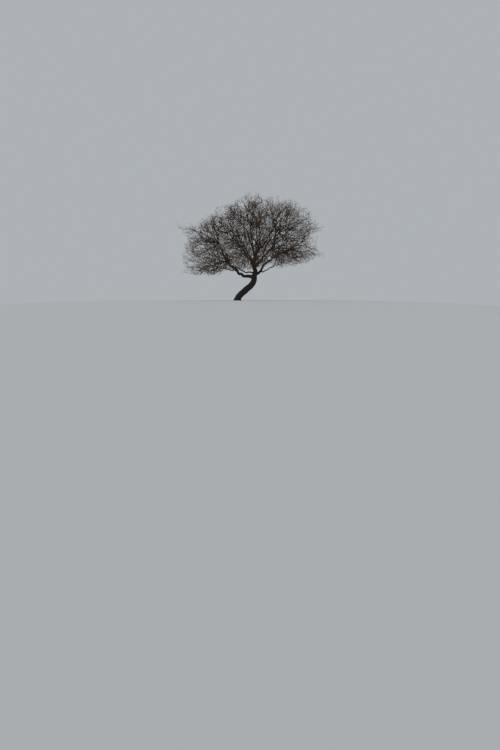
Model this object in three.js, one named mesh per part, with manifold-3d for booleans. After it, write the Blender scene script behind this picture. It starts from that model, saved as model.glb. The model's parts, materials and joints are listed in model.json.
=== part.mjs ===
// A bare winter tree: a short trunk that leans over and forks into boughs, under a wide, dense, domed crown.
// Millimetres, +Z up. The origin is the middle of the flat cut under the trunk, at ground level.
// +X is to the right and +Y away from someone who sees the trunk lean to the right.
import * as THREE from "three";
import { mergeVertices } from "three/addons/utils/BufferGeometryUtils.js";
import Module from "manifold-3d";

const wasm = await Module();
wasm.setup();

// Driving dimensions.
const GAP = 0.3; // between two solids that meet
const SEED = 20471;

// The crown is a dome over a flat underside, higher on the right. Its level is 1 at the furthest tips.
const CROWN = {
  middle: new THREE.Vector3(590, 0, 2430), // at its widest level
  halfWidth: 3060,
  halfDepth: 2880,
  rise: 2330, // from the widest level to the top
  drop: 1080, // from the widest level to the underside
  tilt: 0.12, // rise of the widest level for each unit of X
  topRoundness: 2.15,
  undersideRoundness: 5,
  lobes: [
    { count: 3, size: 0.035, turn: 40 },
    { count: 5, size: 0.03, turn: 110 },
    { count: 8, size: 0.02, turn: 15 },
  ],
};
// The clear space round the fork, and the arch under the crown from front to back.
const HOLLOW = { middle: new THREE.Vector3(760, 0, 1560), radius: 900 };
const ARCH = { middle: new THREE.Vector3(780, 0, 1080), halfWidth: 1600, rise: 600 };
// Twigs that stand out of the dome, each from root to tip: the top of the tree, and its furthest tips.
const FAR_TWIGS = [
  [[620, -40, 4720], [650, -60, 5000]],
  [[430, 60, 4700], [400, 90, 4880]],
  [[900, 120, 4720], [950, 140, 4900]],
  [[-2250, -120, 3080], [-2520, -150, 3270], [-2800, -160, 3400]],
  [[3540, 20, 2300], [3790, 110, 2120], [4080, 120, 2060]],
  [[3460, -200, 3260], [3790, -240, 3420]],
  [[-2200, 300, 1560], [-2500, 420, 1330]],
];

// Twig points lie on a jittered grid. Those near the crown's surface are drawn out to it.
const TWIGS = {
  spacing: 305,
  jitter: 0.85,
  shell: 0.9, // the level where the shell begins
  shellDepth: 0.09, // how far below the surface the shell's tips may end
  inner: 0.62, // the share of points inside the shell that are kept
  tipRadius: 4,
  stemLength: 170,
  shortest: 105,
  clear: 26, // between one twig's line and another's
  wall: 32, // between a twig's line and the side of its mass's space
  turnCost: 0.9, // how dear it is to leave a limb at a wide angle
  pathShare: 0.42, // how dear a long way round from the stem is
  leastFork: 28, // degrees between two limbs that leave one fork
  mostTurn: 90, // degrees
  tries: 10,
  sideLimbs: 2, // that may leave a twig at one fork
  leastOutward: 0.25, // how far a side twig must look out of its face, from 0 along it to 1 straight out
};

const TRUNK = {
  name: "trunk",
  line: [
    [0, 0, 0],
    [38, 2, 130],
    [150, 8, 275],
    [372, 16, 470],
    [588, 24, 710],
    [742, 24, 935],
    [806, 18, 1150],
    [784, 8, 1430],
    [744, 0, 1690],
  ],
  radii: [147, 146, 144, 142, 138, 126, 112, 92, 66],
  stepsEach: 2, // from one point of the line to the next
  sides: 16,
  flare: 0.3, // how much wider the roots' shoulders stand at the ground
  flareHeight: 120,
  shoulders: 5,
};

// Each bough leaves its parent at a share of the parent's length. Heading is in plan, 0 to the right and 90
// to the back. Climb is above the level. Lift and swing are how far climb and heading change on the way, the
// more towards the tip the higher late is. Degrees.
const BOUGHS = [
  { name: "bough_left_foot", from: "trunk", at: 0.705, length: 500, radii: [64, 53],
    heading: 180, climb: 2, lift: 6 },
  { name: "bough_left", from: "bough_left_foot", at: 1, length: 1820, radii: [53, 25],
    heading: 181, climb: 36, lift: 40, late: 1.3 },
  { name: "bough_left_low", from: "bough_left", at: 0.22, length: 850, radii: [26, 17],
    heading: 190, climb: 0, lift: 24 },
  { name: "bough_left_front", from: "bough_left", at: 0.1, length: 1150, radii: [30, 18],
    heading: 232, climb: 16, lift: 26 },
  { name: "bough_left_front_high", from: "bough_left", at: 0.5, length: 1100, radii: [27, 18],
    heading: 222, climb: 44, lift: 16 },
  { name: "bough_back_left_low", from: "trunk", at: 0.8, length: 1500, radii: [34, 20],
    heading: 158, climb: 2, lift: 36, swing: -16 },
  { name: "bough_right", from: "trunk", at: 0.735, length: 1700, radii: [60, 25],
    heading: 2, climb: 52, lift: -24, swing: -6 },
  { name: "bough_right_low", from: "bough_right", at: 0.16, length: 1100, radii: [26, 17],
    heading: 347, climb: 10, lift: 75, late: 2.2 },
  { name: "bough_right_front", from: "bough_right", at: 0.42, length: 1200, radii: [28, 18],
    heading: 312, climb: 26, lift: 16 },
  { name: "bough_right_high", from: "trunk", at: 0.93, length: 1950, radii: [54, 25],
    heading: 4, climb: 34, lift: 46 },
  { name: "bough_right_back_high", from: "bough_right_high", at: 0.5, length: 1120, radii: [28, 18],
    heading: 48, climb: 40, lift: 22 },
  { name: "bough_middle_left", from: "trunk", at: 0.985, length: 1380, radii: [42, 22],
    heading: 184, climb: 56, lift: -8 },
  { name: "bough_left_back_high", from: "bough_middle_left", at: 0.45, length: 1150, radii: [27, 18],
    heading: 140, climb: 42, lift: 20 },
  { name: "bough_leader", from: "trunk", at: 1, length: 1850, radii: [58, 24],
    heading: 180, climb: 92, lift: -32 },
  { name: "bough_front_high", from: "bough_leader", at: 0.3, length: 1300, radii: [30, 19],
    heading: 262, climb: 52, lift: 16 },
  { name: "bough_middle_right", from: "bough_leader", at: 0.1, length: 1500, radii: [44, 22],
    heading: 10, climb: 62, lift: 36 },
  { name: "bough_back_high", from: "bough_middle_right", at: 0.35, length: 1300, radii: [29, 18],
    heading: 92, climb: 48, lift: 18 },
  { name: "bough_right_front_high", from: "bough_middle_right", at: 0.2, length: 1400, radii: [32, 19],
    heading: 330, climb: 40, lift: 24 },
  { name: "bough_front", from: "trunk", at: 0.86, length: 1600, radii: [44, 22],
    heading: 274, climb: 36, lift: 14 },
  { name: "bough_front_left", from: "bough_front", at: 0.3, length: 1220, radii: [30, 18],
    heading: 238, climb: 30, lift: 16 },
  { name: "bough_front_right", from: "bough_front", at: 0.42, length: 1120, radii: [28, 18],
    heading: 314, climb: 34, lift: 14 },
  { name: "bough_back", from: "trunk", at: 0.81, length: 1680, radii: [46, 22],
    heading: 86, climb: 34, lift: 14 },
  { name: "bough_back_left", from: "bough_back", at: 0.34, length: 1200, radii: [30, 18],
    heading: 124, climb: 36, lift: 14 },
  { name: "bough_back_right", from: "bough_back", at: 0.26, length: 1350, radii: [32, 18],
    heading: 42, climb: 28, lift: 14 },
];
const BOUGH_STEPS = 6;
const BOUGH_SIDES = 7;
const STOUT = 40; // a bough with a wider foot than this has more sides
const STOUT_SIDES = 10;
const CELL_PUSH = 520; // from a bough's tip to the middle of the mass that it carries

const COLOURS = {
  bark: { color: 0x2b2724, roughness: 0.95, metalness: 0 },
  bough: { color: 0x332e2a, roughness: 0.93, metalness: 0 },
  twig: { color: 0x453c36, roughness: 0.9, metalness: 0 },
};

const radians = THREE.MathUtils.degToRad;
const THIRD = (2 * Math.PI) / 3; // of a turn

function seededRandom(seed) {
  let state = seed >>> 0;
  return () => {
    state = (Math.imul(state, 1664525) + 1013904223) >>> 0;
    return state / 4294967296;
  };
}

// The crown's space.

function crownLevel(p) {
  const x = (p.x - CROWN.middle.x) / CROWN.halfWidth;
  const y = (p.y - CROWN.middle.y) / CROWN.halfDepth;
  const turn = Math.atan2(y, x);
  const swell = (lobe) => lobe.size * Math.cos(lobe.count * turn + radians(lobe.turn));
  const across = Math.hypot(x, y) / CROWN.lobes.reduce((sum, lobe) => sum + swell(lobe), 1);
  const up = p.z - CROWN.middle.z - CROWN.tilt * (p.x - CROWN.middle.x);
  const roundness = up > 0 ? CROWN.topRoundness : CROWN.undersideRoundness;
  const height = up > 0 ? CROWN.rise : CROWN.drop;
  return (across ** roundness + (Math.abs(up) / height) ** roundness) ** (1 / roundness);
}

function isClearSpace(p) {
  const across = (p.x - ARCH.middle.x) / ARCH.halfWidth;
  const up = (p.z - ARCH.middle.z) / ARCH.rise;
  return p.distanceTo(HOLLOW.middle) < HOLLOW.radius || Math.hypot(across, up) < 1;
}

// The points that twigs grow to, on a jittered grid whose every second layer is shifted by half a step.
function twigPoints() {
  const random = seededRandom(SEED);
  const found = FAR_TWIGS.flat().map((p) => new THREE.Vector3(...p));
  const step = TWIGS.spacing;
  const across = Math.ceil((CROWN.halfWidth * 1.2) / step);
  const up = Math.ceil((CROWN.rise * 1.3) / step);
  for (let k = -up; k <= up; k++)
    for (let j = -across; j <= across; j++)
      for (let i = -across; i <= across; i++) {
        const shift = k % 2 === 0 ? 0 : 0.5;
        const nudge = () => TWIGS.jitter * (random() - 0.5);
        const p = new THREE.Vector3(i + shift + nudge(), j + shift + nudge(), k + nudge());
        const depth = random();
        const kept = random();
        p.multiplyScalar(step).add(CROWN.middle);
        const level = crownLevel(p);
        if (level > 1 + (0.45 * step) / CROWN.halfDepth) continue;
        if (level > TWIGS.shell) {
          const drawn = (1 - TWIGS.shellDepth * depth) / level;
          p.sub(CROWN.middle).multiplyScalar(drawn).add(CROWN.middle);
        } else if (kept > TWIGS.inner) continue;
        if (!isClearSpace(p)) found.push(p);
      }
  return found;
}

// Limbs: the trunk and the boughs, each a line of points with a radius at every point.

function heading(turn, climb) {
  const level = Math.cos(radians(climb));
  return new THREE.Vector3(
    level * Math.cos(radians(turn)),
    level * Math.sin(radians(turn)),
    Math.sin(radians(climb)),
  );
}

function trunkLimb() {
  const given = TRUNK.line.map((p) => new THREE.Vector3(...p));
  const curve = new THREE.CatmullRomCurve3(given, false, "centripetal");
  const points = curve.getPoints((TRUNK.line.length - 1) * TRUNK.stepsEach);
  const radii = points.map((_, i) => {
    const place = i / TRUNK.stepsEach;
    const below = Math.floor(place);
    const above = Math.min(below + 1, TRUNK.radii.length - 1);
    return THREE.MathUtils.lerp(TRUNK.radii[below], TRUNK.radii[above], place - below);
  });
  return { name: TRUNK.name, points, radii };
}

function pointAt(limb, share) {
  const place = Math.min(share, 1) * (limb.points.length - 1);
  const i = Math.min(Math.floor(place), limb.points.length - 2);
  return limb.points[i].clone().lerp(limb.points[i + 1], place - i);
}

function boughLimb(bough, parent) {
  const points = [pointAt(parent, bough.at)];
  for (let k = 0; k < BOUGH_STEPS; k++) {
    const share = ((k + 0.5) / BOUGH_STEPS) ** (bough.late ?? 1);
    const way = heading(bough.heading + (bough.swing ?? 0) * share, bough.climb + bough.lift * share);
    points.push(points[k].clone().addScaledVector(way, bough.length / BOUGH_STEPS));
  }
  const radii = points.map((_, k) => THREE.MathUtils.lerp(...bough.radii, k / BOUGH_STEPS));
  return { name: bough.name, points, radii };
}

function allLimbs() {
  const limbs = new Map([[TRUNK.name, trunkLimb()]]);
  for (const bough of BOUGHS) limbs.set(bough.name, boughLimb(bough, limbs.get(bough.from)));
  return limbs;
}

// Directions along a line of points, level at the trunk's foot so that its cut is flat.
function ways(points, first) {
  return points.map((p, i) => {
    if (i === 0 && first) return first.clone();
    const before = points[Math.max(i - 1, 0)];
    const after = points[Math.min(i + 1, points.length - 1)];
    return after.clone().sub(before).normalize();
  });
}

// A closed tube of rings, swollen by extra on its sides and its far end. wider(i, turn) scales the radius.
function tubeGeometry({ points, radii }, sides, { extra = 0, first = null, wider = () => 1 } = {}) {
  const along = ways(points, first);
  const last = points.length - 1;
  const positions = [];
  const index = [];
  let side = new THREE.Vector3(1, 0, 0);
  if (Math.abs(along[0].x) > 0.9) side.set(0, 1, 0);
  points.forEach((p, i) => {
    side = side.clone().projectOnPlane(along[i]).normalize();
    const other = along[i].clone().cross(side);
    for (let s = 0; s < sides; s++) {
      const turn = (2 * Math.PI * s) / sides;
      const r = (radii[i] + extra) * wider(i, turn);
      const v = p.clone().addScaledVector(side, r * Math.cos(turn));
      v.addScaledVector(other, r * Math.sin(turn));
      if (i === last) v.addScaledVector(along[i], extra);
      positions.push(v.x, v.y, v.z);
    }
  });
  const end = last * sides;
  for (let i = 0; i < end; i += sides)
    for (let s = 0; s < sides; s++) {
      const [a, b] = [i + s, i + ((s + 1) % sides)];
      index.push(a, b, b + sides, a, b + sides, a + sides);
    }
  for (let s = 1; s < sides - 1; s++) {
    index.push(0, s + 1, s);
    index.push(end, end + s, end + s + 1);
  }
  return new THREE.BufferGeometry()
    .setAttribute("position", new THREE.BufferAttribute(new Float32Array(positions), 3))
    .setIndex(index);
}

function trunkGeometry(limb, extra = 0) {
  const height = (i) => limb.points[i].z;
  const shoulder = (turn) => 0.6 + 0.4 * Math.cos(TRUNK.shoulders * turn + 0.8);
  const wider = (i, turn) => 1 + TRUNK.flare * shoulder(turn) * Math.exp(-height(i) / TRUNK.flareHeight);
  return tubeGeometry(limb, TRUNK.sides, { extra, wider, first: new THREE.Vector3(0, 0, 1) });
}

// Solids.

function toSolid(geometry) {
  const merged = mergeVertices(geometry, 1e-4);
  return new wasm.Manifold(
    new wasm.Mesh({
      numProp: 3,
      vertProperties: merged.attributes.position.array,
      triVerts: new Uint32Array(merged.index.array),
    }),
  );
}

function toGeometry(solid) {
  const mesh = solid.getMesh();
  return new THREE.BufferGeometry()
    .setAttribute("position", new THREE.BufferAttribute(mesh.vertProperties.slice(), 3))
    .setIndex(new THREE.BufferAttribute(mesh.triVerts.slice(), 1));
}

const largest = (solid) => solid.decompose().reduce((a, b) => (b.volume() > a.volume() ? b : a));

// The trunk whole, and each bough cut clear of the limbs before it.
function limbGeometries(limbs) {
  const made = new Map();
  const swollen = [];
  for (const limb of limbs.values()) {
    const isTrunk = limb.name === TRUNK.name;
    const sides = limb.radii[0] > STOUT ? STOUT_SIDES : BOUGH_SIDES;
    const skin = (extra) => (isTrunk ? trunkGeometry(limb, extra) : tubeGeometry(limb, sides, { extra }));
    const shape = (extra) => toSolid(skin(extra));
    const cut = swollen.reduce((solid, other) => solid.subtract(other), shape(0));
    made.set(limb.name, toGeometry(largest(cut)));
    swollen.push(shape(GAP));
  }
  return made;
}

// Twigs: each mass is a tree of nodes that grows from its bough's tip to the points in its own space.

function segmentDistance(a, b, c, d) {
  const u = b.clone().sub(a);
  const v = d.clone().sub(c);
  const w = a.clone().sub(c);
  const [uu, uv, vv, uw, vw] = [u.dot(u), u.dot(v), v.dot(v), u.dot(w), v.dot(w)];
  const clamp = (x) => Math.min(1, Math.max(0, x));
  const flat = uu * vv - uv * uv;
  let s = flat < 1e-9 ? 0 : clamp((uv * vw - vv * uw) / flat);
  const t = clamp((uv * s + vw) / vv);
  s = clamp((uv * t - uw) / uu);
  return a.clone().addScaledVector(u, s).distanceTo(c.clone().addScaledVector(v, t));
}

// How far p is inside the space of mass own, from the nearest wall between two spaces.
function insideCell(p, own, masses) {
  let least = Infinity;
  const near = p.distanceToSquared(own.middle);
  for (const other of masses) {
    if (other === own) continue;
    const far = p.distanceToSquared(other.middle);
    least = Math.min(least, (far - near) / (2 * own.middle.distanceTo(other.middle)));
  }
  return least;
}

function touchesLimb(a, b, limbs, own) {
  for (const limb of limbs.values())
    for (let i = 0; i < limb.points.length - 1; i++) {
      if (limb.name === own && i === limb.points.length - 2) continue;
      const room = limb.radii[i] + TWIGS.clear;
      if (segmentDistance(a, b, limb.points[i], limb.points[i + 1]) < room) return true;
    }
  return false;
}

function growMass(mass, masses, limbs) {
  const nodes = [];
  const addNode = (p, parent) => {
    const from = parent === null ? null : nodes[parent];
    const node = {
      p,
      parent,
      children: [],
      way: from ? p.clone().sub(from.p).normalize() : mass.way.clone(),
      path: from ? from.path + p.distanceTo(from.p) : 0,
    };
    nodes.push(node);
    if (from) from.children.push(nodes.length - 1);
  };
  const foot = mass.tip.clone().addScaledVector(mass.way, GAP);
  addNode(foot, null);
  addNode(foot.clone().addScaledVector(mass.way, TWIGS.stemLength), 0);

  const mostTurn = Math.cos(radians(TWIGS.mostTurn));
  const leastFork = Math.cos(radians(TWIGS.leastFork));
  const priceTo = (p) => (node, i) => {
    const to = p.clone().sub(node.p);
    const far = to.length();
    const turn = to.dot(node.way) / far;
    const price = far * (1 + TWIGS.turnCost * (1 - turn)) + TWIGS.pathShare * node.path;
    return { i, far, turn, way: to.divideScalar(far), price };
  };
  const isFree = ({ i, far, turn, way }, p) => {
    const from = nodes[i];
    if (i === 0 || from.children.length > TWIGS.sideLimbs) return false;
    if (far < TWIGS.shortest || turn < mostTurn) return false;
    if (from.children.some((c) => nodes[c].way.dot(way) > leastFork)) return false;
    if (touchesLimb(from.p, p, limbs, mass.bough)) return false;
    return !nodes.some((other, k) => {
      if (k === 0 || k === i || k === from.parent || other.parent === i) return false;
      if (other.p.distanceTo(p) < TWIGS.shortest / 2) return true;
      return segmentDistance(nodes[other.parent].p, other.p, from.p, p) < TWIGS.clear;
    });
  };

  const points = [...mass.points].sort((a, b) => a.distanceTo(foot) - b.distanceTo(foot));
  for (const p of points) {
    if (insideCell(p, mass, masses) < TWIGS.wall) continue;
    const choices = nodes.map(priceTo(p)).sort((a, b) => a.price - b.price);
    const taken = choices.slice(0, TWIGS.tries).find((choice) => isFree(choice, p));
    if (taken) addNode(p, taken.i);
  }
  return nodes;
}

// At a fork one twig goes on, and the others leave it by the faces of a short three-sided collar that is
// turned to the first of them. One that would lie along its face or run into the main twig is left out.
function forkWith(nodes, node, main) {
  const others = node.children.filter((c) => c !== main).sort((a, b) => nodes[b].tips - nodes[a].tips);
  const mainWay = nodes[main].way;
  const along = node.way.clone().add(mainWay).normalize();
  const beside = nodes[others[0]].way.clone().multiplyScalar(2).sub(mainWay);
  beside.projectOnPlane(along).normalize();
  const faces = [0, 1, 2].map((s) => beside.clone().applyAxisAngle(along, s * THIRD));
  const leaving = new Map();
  for (const child of others) {
    const { way } = nodes[child];
    const outward = (s) => Math.min(faces[s].dot(way), faces[s].dot(way) - faces[s].dot(mainWay));
    const [best] = [0, 1, 2].filter((s) => !leaving.has(s)).sort((a, b) => outward(b) - outward(a));
    if (outward(best) > TWIGS.leastOutward) leaving.set(best, child);
  }
  const children = [main, ...leaving.values()];
  const tips = children.reduce((sum, c) => sum + nodes[c].tips, 0);
  return { children, leaving, tips, side: beside.applyAxisAngle(along, -THIRD / 2) };
}

// Each fork is given the main twig that keeps the most tips, or else the stoutest.
function fitForks(nodes) {
  for (const node of nodes.toReversed()) {
    if (node.children.length < 2) {
      node.tips = node.children.length ? nodes[node.children[0]].tips : 1;
      continue;
    }
    node.children.sort((a, b) => nodes[b].tips - nodes[a].tips);
    const forks = node.children.map((main) => forkWith(nodes, node, main));
    Object.assign(node, forks.reduce((a, b) => (b.tips > a.tips ? b : a)));
  }
}

// The radius of each node from the number of tips beyond it, so that the stem is as thick as its bough's tip.
function setRadii(nodes, stemRadius) {
  const power = Math.log(stemRadius / TWIGS.tipRadius) / Math.log(Math.max(2, nodes[0].tips));
  for (const node of nodes) node.radius = TWIGS.tipRadius * node.tips ** power;
}

// One closed skin of three-sided twigs, with a collar at each fork.
function massGeometry(nodes) {
  const positions = [];
  const index = [];
  const addPoint = (v) => positions.push(v.x, v.y, v.z) / 3 - 1;
  const at = (i) => new THREE.Vector3().fromArray(positions, 3 * i);

  const ring = (middle, along, radius, side) =>
    [0, 1, 2].map((s) => {
      const out = side.clone().applyAxisAngle(along, s * THIRD);
      return addPoint(out.multiplyScalar(radius).add(middle));
    });
  // The side that three points round a twig have in common, as they are seen along it.
  const sideOf = (points, way) => {
    const middle = points.reduce((sum, i) => sum.add(at(i)), new THREE.Vector3()).divideScalar(3);
    const flat = points.map((i) => at(i).sub(middle).projectOnPlane(way));
    const turnedBack = flat.map((v, s) => v.applyAxisAngle(way, -s * THIRD));
    return turnedBack.reduce((sum, v) => sum.add(v)).normalize();
  };
  // Each of the three walls is folded outwards.
  const bridge = (low, high) => {
    for (let s = 0; s < 3; s++) {
      const [a, b, c, d] = [low[s], low[(s + 1) % 3], high[(s + 1) % 3], high[s]];
      const across = at(b).sub(at(a)).cross(at(c).sub(at(a)));
      if (across.dot(at(d).sub(at(a))) < 0) index.push(a, b, c, a, c, d);
      else index.push(a, b, d, b, c, d);
    }
  };

  // base is the ring that the limb starts on, and first the node that its first stretch ends at.
  const growLimb = (base, first) => {
    let low = base;
    for (let i = first; ; i = nodes[i].children[0]) {
      const node = nodes[i];
      if (!node.children.length) {
        const tip = addPoint(node.p);
        for (let s = 0; s < 3; s++) index.push(low[s], low[(s + 1) % 3], tip);
        return;
      }
      const along = node.way.clone().add(nodes[node.children[0]].way).normalize();
      const bend = new THREE.Quaternion().setFromUnitVectors(node.way, along);
      const side = sideOf(low, node.way).applyQuaternion(bend);
      if (node.children.length === 1) {
        const only = ring(node.p, along, node.radius, side);
        bridge(low, only);
        low = only;
        continue;
      }
      const [after, ...leaving] = node.children.map((c) => nodes[c].radius);
      const half = along.clone().multiplyScalar(Math.max(1.1 * Math.max(...leaving), 6));
      const lower = ring(node.p.clone().sub(half), along, node.radius, node.side);
      const upper = ring(node.p.clone().add(half), along, Math.max(after, 0.8 * node.radius), node.side);
      const likeness = (k) => side.dot(node.side.clone().applyAxisAngle(along, k * THIRD));
      const [shift] = [0, 1, 2].sort((a, b) => likeness(b) - likeness(a));
      bridge(low, lower.map((_, s) => lower[(s + shift) % 3]));
      for (let s = 0; s < 3; s++) {
        const [a, b, c, d] = [lower[s], lower[(s + 1) % 3], upper[(s + 1) % 3], upper[s]];
        index.push(a, c, d);
        if (node.leaving.has(s)) growLimb([a, b, c], node.leaving.get(s));
        else index.push(a, b, c);
      }
      low = upper;
    }
  };

  const stem = nodes[0];
  const beside = Math.abs(stem.way.z) > 0.9 ? new THREE.Vector3(1, 0, 0) : new THREE.Vector3(0, 0, 1);
  const foot = ring(stem.p, stem.way, stem.radius, beside.projectOnPlane(stem.way).normalize());
  index.push(foot[0], foot[2], foot[1]);
  growLimb(foot, stem.children[0]);
  return new THREE.BufferGeometry()
    .setAttribute("position", new THREE.BufferAttribute(new Float32Array(positions), 3))
    .setIndex(index);
}

// Each bough whose tip carries no other bough carries a mass of twigs.
function allMasses(limbs) {
  const carried = new Set(BOUGHS.filter((b) => b.at === 1).map((b) => b.from));
  const masses = BOUGHS.filter((b) => !carried.has(b.name)).map((bough) => {
    const limb = limbs.get(bough.name);
    const tip = limb.points.at(-1);
    const way = tip.clone().sub(limb.points.at(-2)).normalize();
    return {
      name: bough.name.replace("bough", "twigs"),
      bough: bough.name,
      tip,
      way,
      radius: limb.radii.at(-1),
      middle: tip.clone().addScaledVector(way, CELL_PUSH),
      points: [],
    };
  });
  for (const p of twigPoints()) {
    const near = masses.reduce((a, b) => (b.middle.distanceTo(p) < a.middle.distanceTo(p) ? b : a));
    near.points.push(p);
  }
  return masses;
}

function addMesh(group, name, geometry, look) {
  geometry.computeVertexNormals();
  const mesh = new THREE.Mesh(geometry, new THREE.MeshStandardMaterial(look));
  mesh.name = name;
  group.add(mesh);
}

const tree = new THREE.Group();
const limbs = allLimbs();
for (const [name, geometry] of limbGeometries(limbs))
  addMesh(tree, name, geometry, name === TRUNK.name ? COLOURS.bark : COLOURS.bough);
const masses = allMasses(limbs);
for (const mass of masses) {
  const nodes = growMass(mass, masses, limbs);
  fitForks(nodes);
  setRadii(nodes, mass.radius);
  addMesh(tree, mass.name, massGeometry(nodes), COLOURS.twig);
}

export default tree;
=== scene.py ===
import json
import math

import bpy
import numpy as np
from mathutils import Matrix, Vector, kdtree, noise

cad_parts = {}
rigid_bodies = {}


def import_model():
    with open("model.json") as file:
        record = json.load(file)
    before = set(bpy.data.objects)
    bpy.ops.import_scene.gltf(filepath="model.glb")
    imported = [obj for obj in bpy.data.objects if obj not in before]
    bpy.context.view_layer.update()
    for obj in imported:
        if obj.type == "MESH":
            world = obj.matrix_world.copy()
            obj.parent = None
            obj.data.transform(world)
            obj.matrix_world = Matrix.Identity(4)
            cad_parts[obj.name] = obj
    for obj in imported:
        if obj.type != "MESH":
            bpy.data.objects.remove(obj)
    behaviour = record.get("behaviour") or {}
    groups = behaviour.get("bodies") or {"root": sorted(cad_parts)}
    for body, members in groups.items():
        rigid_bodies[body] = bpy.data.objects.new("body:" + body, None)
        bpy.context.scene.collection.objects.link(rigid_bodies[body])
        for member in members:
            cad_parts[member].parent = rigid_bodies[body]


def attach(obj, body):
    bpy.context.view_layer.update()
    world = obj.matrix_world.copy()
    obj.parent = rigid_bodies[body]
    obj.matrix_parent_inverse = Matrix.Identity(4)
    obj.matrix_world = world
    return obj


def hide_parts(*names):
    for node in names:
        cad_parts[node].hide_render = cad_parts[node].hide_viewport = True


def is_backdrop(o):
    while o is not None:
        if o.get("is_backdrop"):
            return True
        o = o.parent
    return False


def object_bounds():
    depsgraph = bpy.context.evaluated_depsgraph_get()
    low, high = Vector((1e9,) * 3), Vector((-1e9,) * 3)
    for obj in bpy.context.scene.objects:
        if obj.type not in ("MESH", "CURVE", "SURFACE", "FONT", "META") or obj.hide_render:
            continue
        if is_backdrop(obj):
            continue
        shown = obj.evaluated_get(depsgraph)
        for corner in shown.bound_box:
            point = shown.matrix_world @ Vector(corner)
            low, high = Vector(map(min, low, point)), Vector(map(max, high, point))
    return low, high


for startObject in list(bpy.data.objects):
    bpy.data.objects.remove(startObject)
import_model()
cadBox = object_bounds()
insideBox = 0.004  # how far tufts and the tips of shoots stay inside the solids' box
lowest, highest = np.array(cadBox[0]) + insideBox, np.array(cadBox[1]) - insideBox

# The crown's space, with the same sizes as the solids, in metres
crown = {
    "middle": np.array([0.59, 0.0, 2.43]),
    "halfWidth": 3.06,
    "halfDepth": 2.88,
    "rise": 2.33,
    "drop": 1.08,
    "dropOutward": 1.6,  # how much deeper the underside counts where a way outward is worked out
    "tilt": 0.12,
    "topRoundness": 2.15,
    "undersideRoundness": 5,
    "lobes": [(3, 0.035, 40), (5, 0.03, 110), (8, 0.02, 15)],  # count, size, turn
    "hollow": (np.array([0.76, 0.0, 1.56]), 0.9),  # middle, radius
    "arch": (np.array([0.78, 0.0, 1.08]), 1.6, 0.6),  # middle, half width, rise
    "farTwigs": [
        (0.62, -0.04, 4.72), (0.65, -0.06, 5.0), (0.43, 0.06, 4.7), (0.4, 0.09, 4.88),
        (0.9, 0.12, 4.72), (0.95, 0.14, 4.9), (-2.25, -0.12, 3.08), (-2.52, -0.15, 3.27),
        (-2.8, -0.16, 3.4), (3.54, 0.02, 2.3), (3.79, 0.11, 2.12), (4.08, 0.12, 2.06),
        (3.46, -0.2, 3.26), (3.79, -0.24, 3.42), (-2.2, 0.3, 1.56), (-2.5, 0.42, 1.33),
    ],
}

trunk = {
    "line": [(0, 0, 0), (0.038, 0.002, 0.13), (0.15, 0.008, 0.275), (0.372, 0.016, 0.47),
             (0.588, 0.024, 0.71), (0.742, 0.024, 0.935), (0.806, 0.018, 1.15), (0.784, 0.008, 1.43),
             (0.744, 0, 1.69)],
    "radii": [0.147, 0.146, 0.144, 0.142, 0.138, 0.126, 0.112, 0.092, 0.066],
    "stepsEach": 2,
}

# name, parent, share of the parent's length, length, foot and tip radius, heading, climb, lift, swing, late
boughs = [
    ("left_foot", "trunk", 0.705, 0.5, 0.064, 0.053, 180, 2, 6, 0, 1),
    ("left", "left_foot", 1, 1.82, 0.053, 0.025, 181, 36, 40, 0, 1.3),
    ("left_low", "left", 0.22, 0.85, 0.026, 0.017, 190, 0, 24, 0, 1),
    ("left_front", "left", 0.1, 1.15, 0.03, 0.018, 232, 16, 26, 0, 1),
    ("left_front_high", "left", 0.5, 1.1, 0.027, 0.018, 222, 44, 16, 0, 1),
    ("back_left_low", "trunk", 0.8, 1.5, 0.034, 0.02, 158, 2, 36, -16, 1),
    ("right", "trunk", 0.735, 1.7, 0.06, 0.025, 2, 52, -24, -6, 1),
    ("right_low", "right", 0.16, 1.1, 0.026, 0.017, 347, 10, 75, 0, 2.2),
    ("right_front", "right", 0.42, 1.2, 0.028, 0.018, 312, 26, 16, 0, 1),
    ("right_high", "trunk", 0.93, 1.95, 0.054, 0.025, 4, 34, 46, 0, 1),
    ("right_back_high", "right_high", 0.5, 1.12, 0.028, 0.018, 48, 40, 22, 0, 1),
    ("middle_left", "trunk", 0.985, 1.38, 0.042, 0.022, 184, 56, -8, 0, 1),
    ("left_back_high", "middle_left", 0.45, 1.15, 0.027, 0.018, 140, 42, 20, 0, 1),
    ("leader", "trunk", 1, 1.85, 0.058, 0.024, 180, 92, -32, 0, 1),
    ("front_high", "leader", 0.3, 1.3, 0.03, 0.019, 262, 52, 16, 0, 1),
    ("middle_right", "leader", 0.1, 1.5, 0.044, 0.022, 10, 62, 36, 0, 1),
    ("back_high", "middle_right", 0.35, 1.3, 0.029, 0.018, 92, 48, 18, 0, 1),
    ("right_front_high", "middle_right", 0.2, 1.4, 0.032, 0.019, 330, 40, 24, 0, 1),
    ("front", "trunk", 0.86, 1.6, 0.044, 0.022, 274, 36, 14, 0, 1),
    ("front_left", "front", 0.3, 1.22, 0.03, 0.018, 238, 30, 16, 0, 1),
    ("front_right", "front", 0.42, 1.12, 0.028, 0.018, 314, 34, 14, 0, 1),
    ("back", "trunk", 0.81, 1.68, 0.046, 0.022, 86, 34, 14, 0, 1),
    ("back_left", "back", 0.34, 1.2, 0.03, 0.018, 124, 36, 14, 0, 1),
    ("back_right", "back", 0.26, 1.35, 0.032, 0.018, 42, 28, 14, 0, 1),
]
boughSteps = 6

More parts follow.
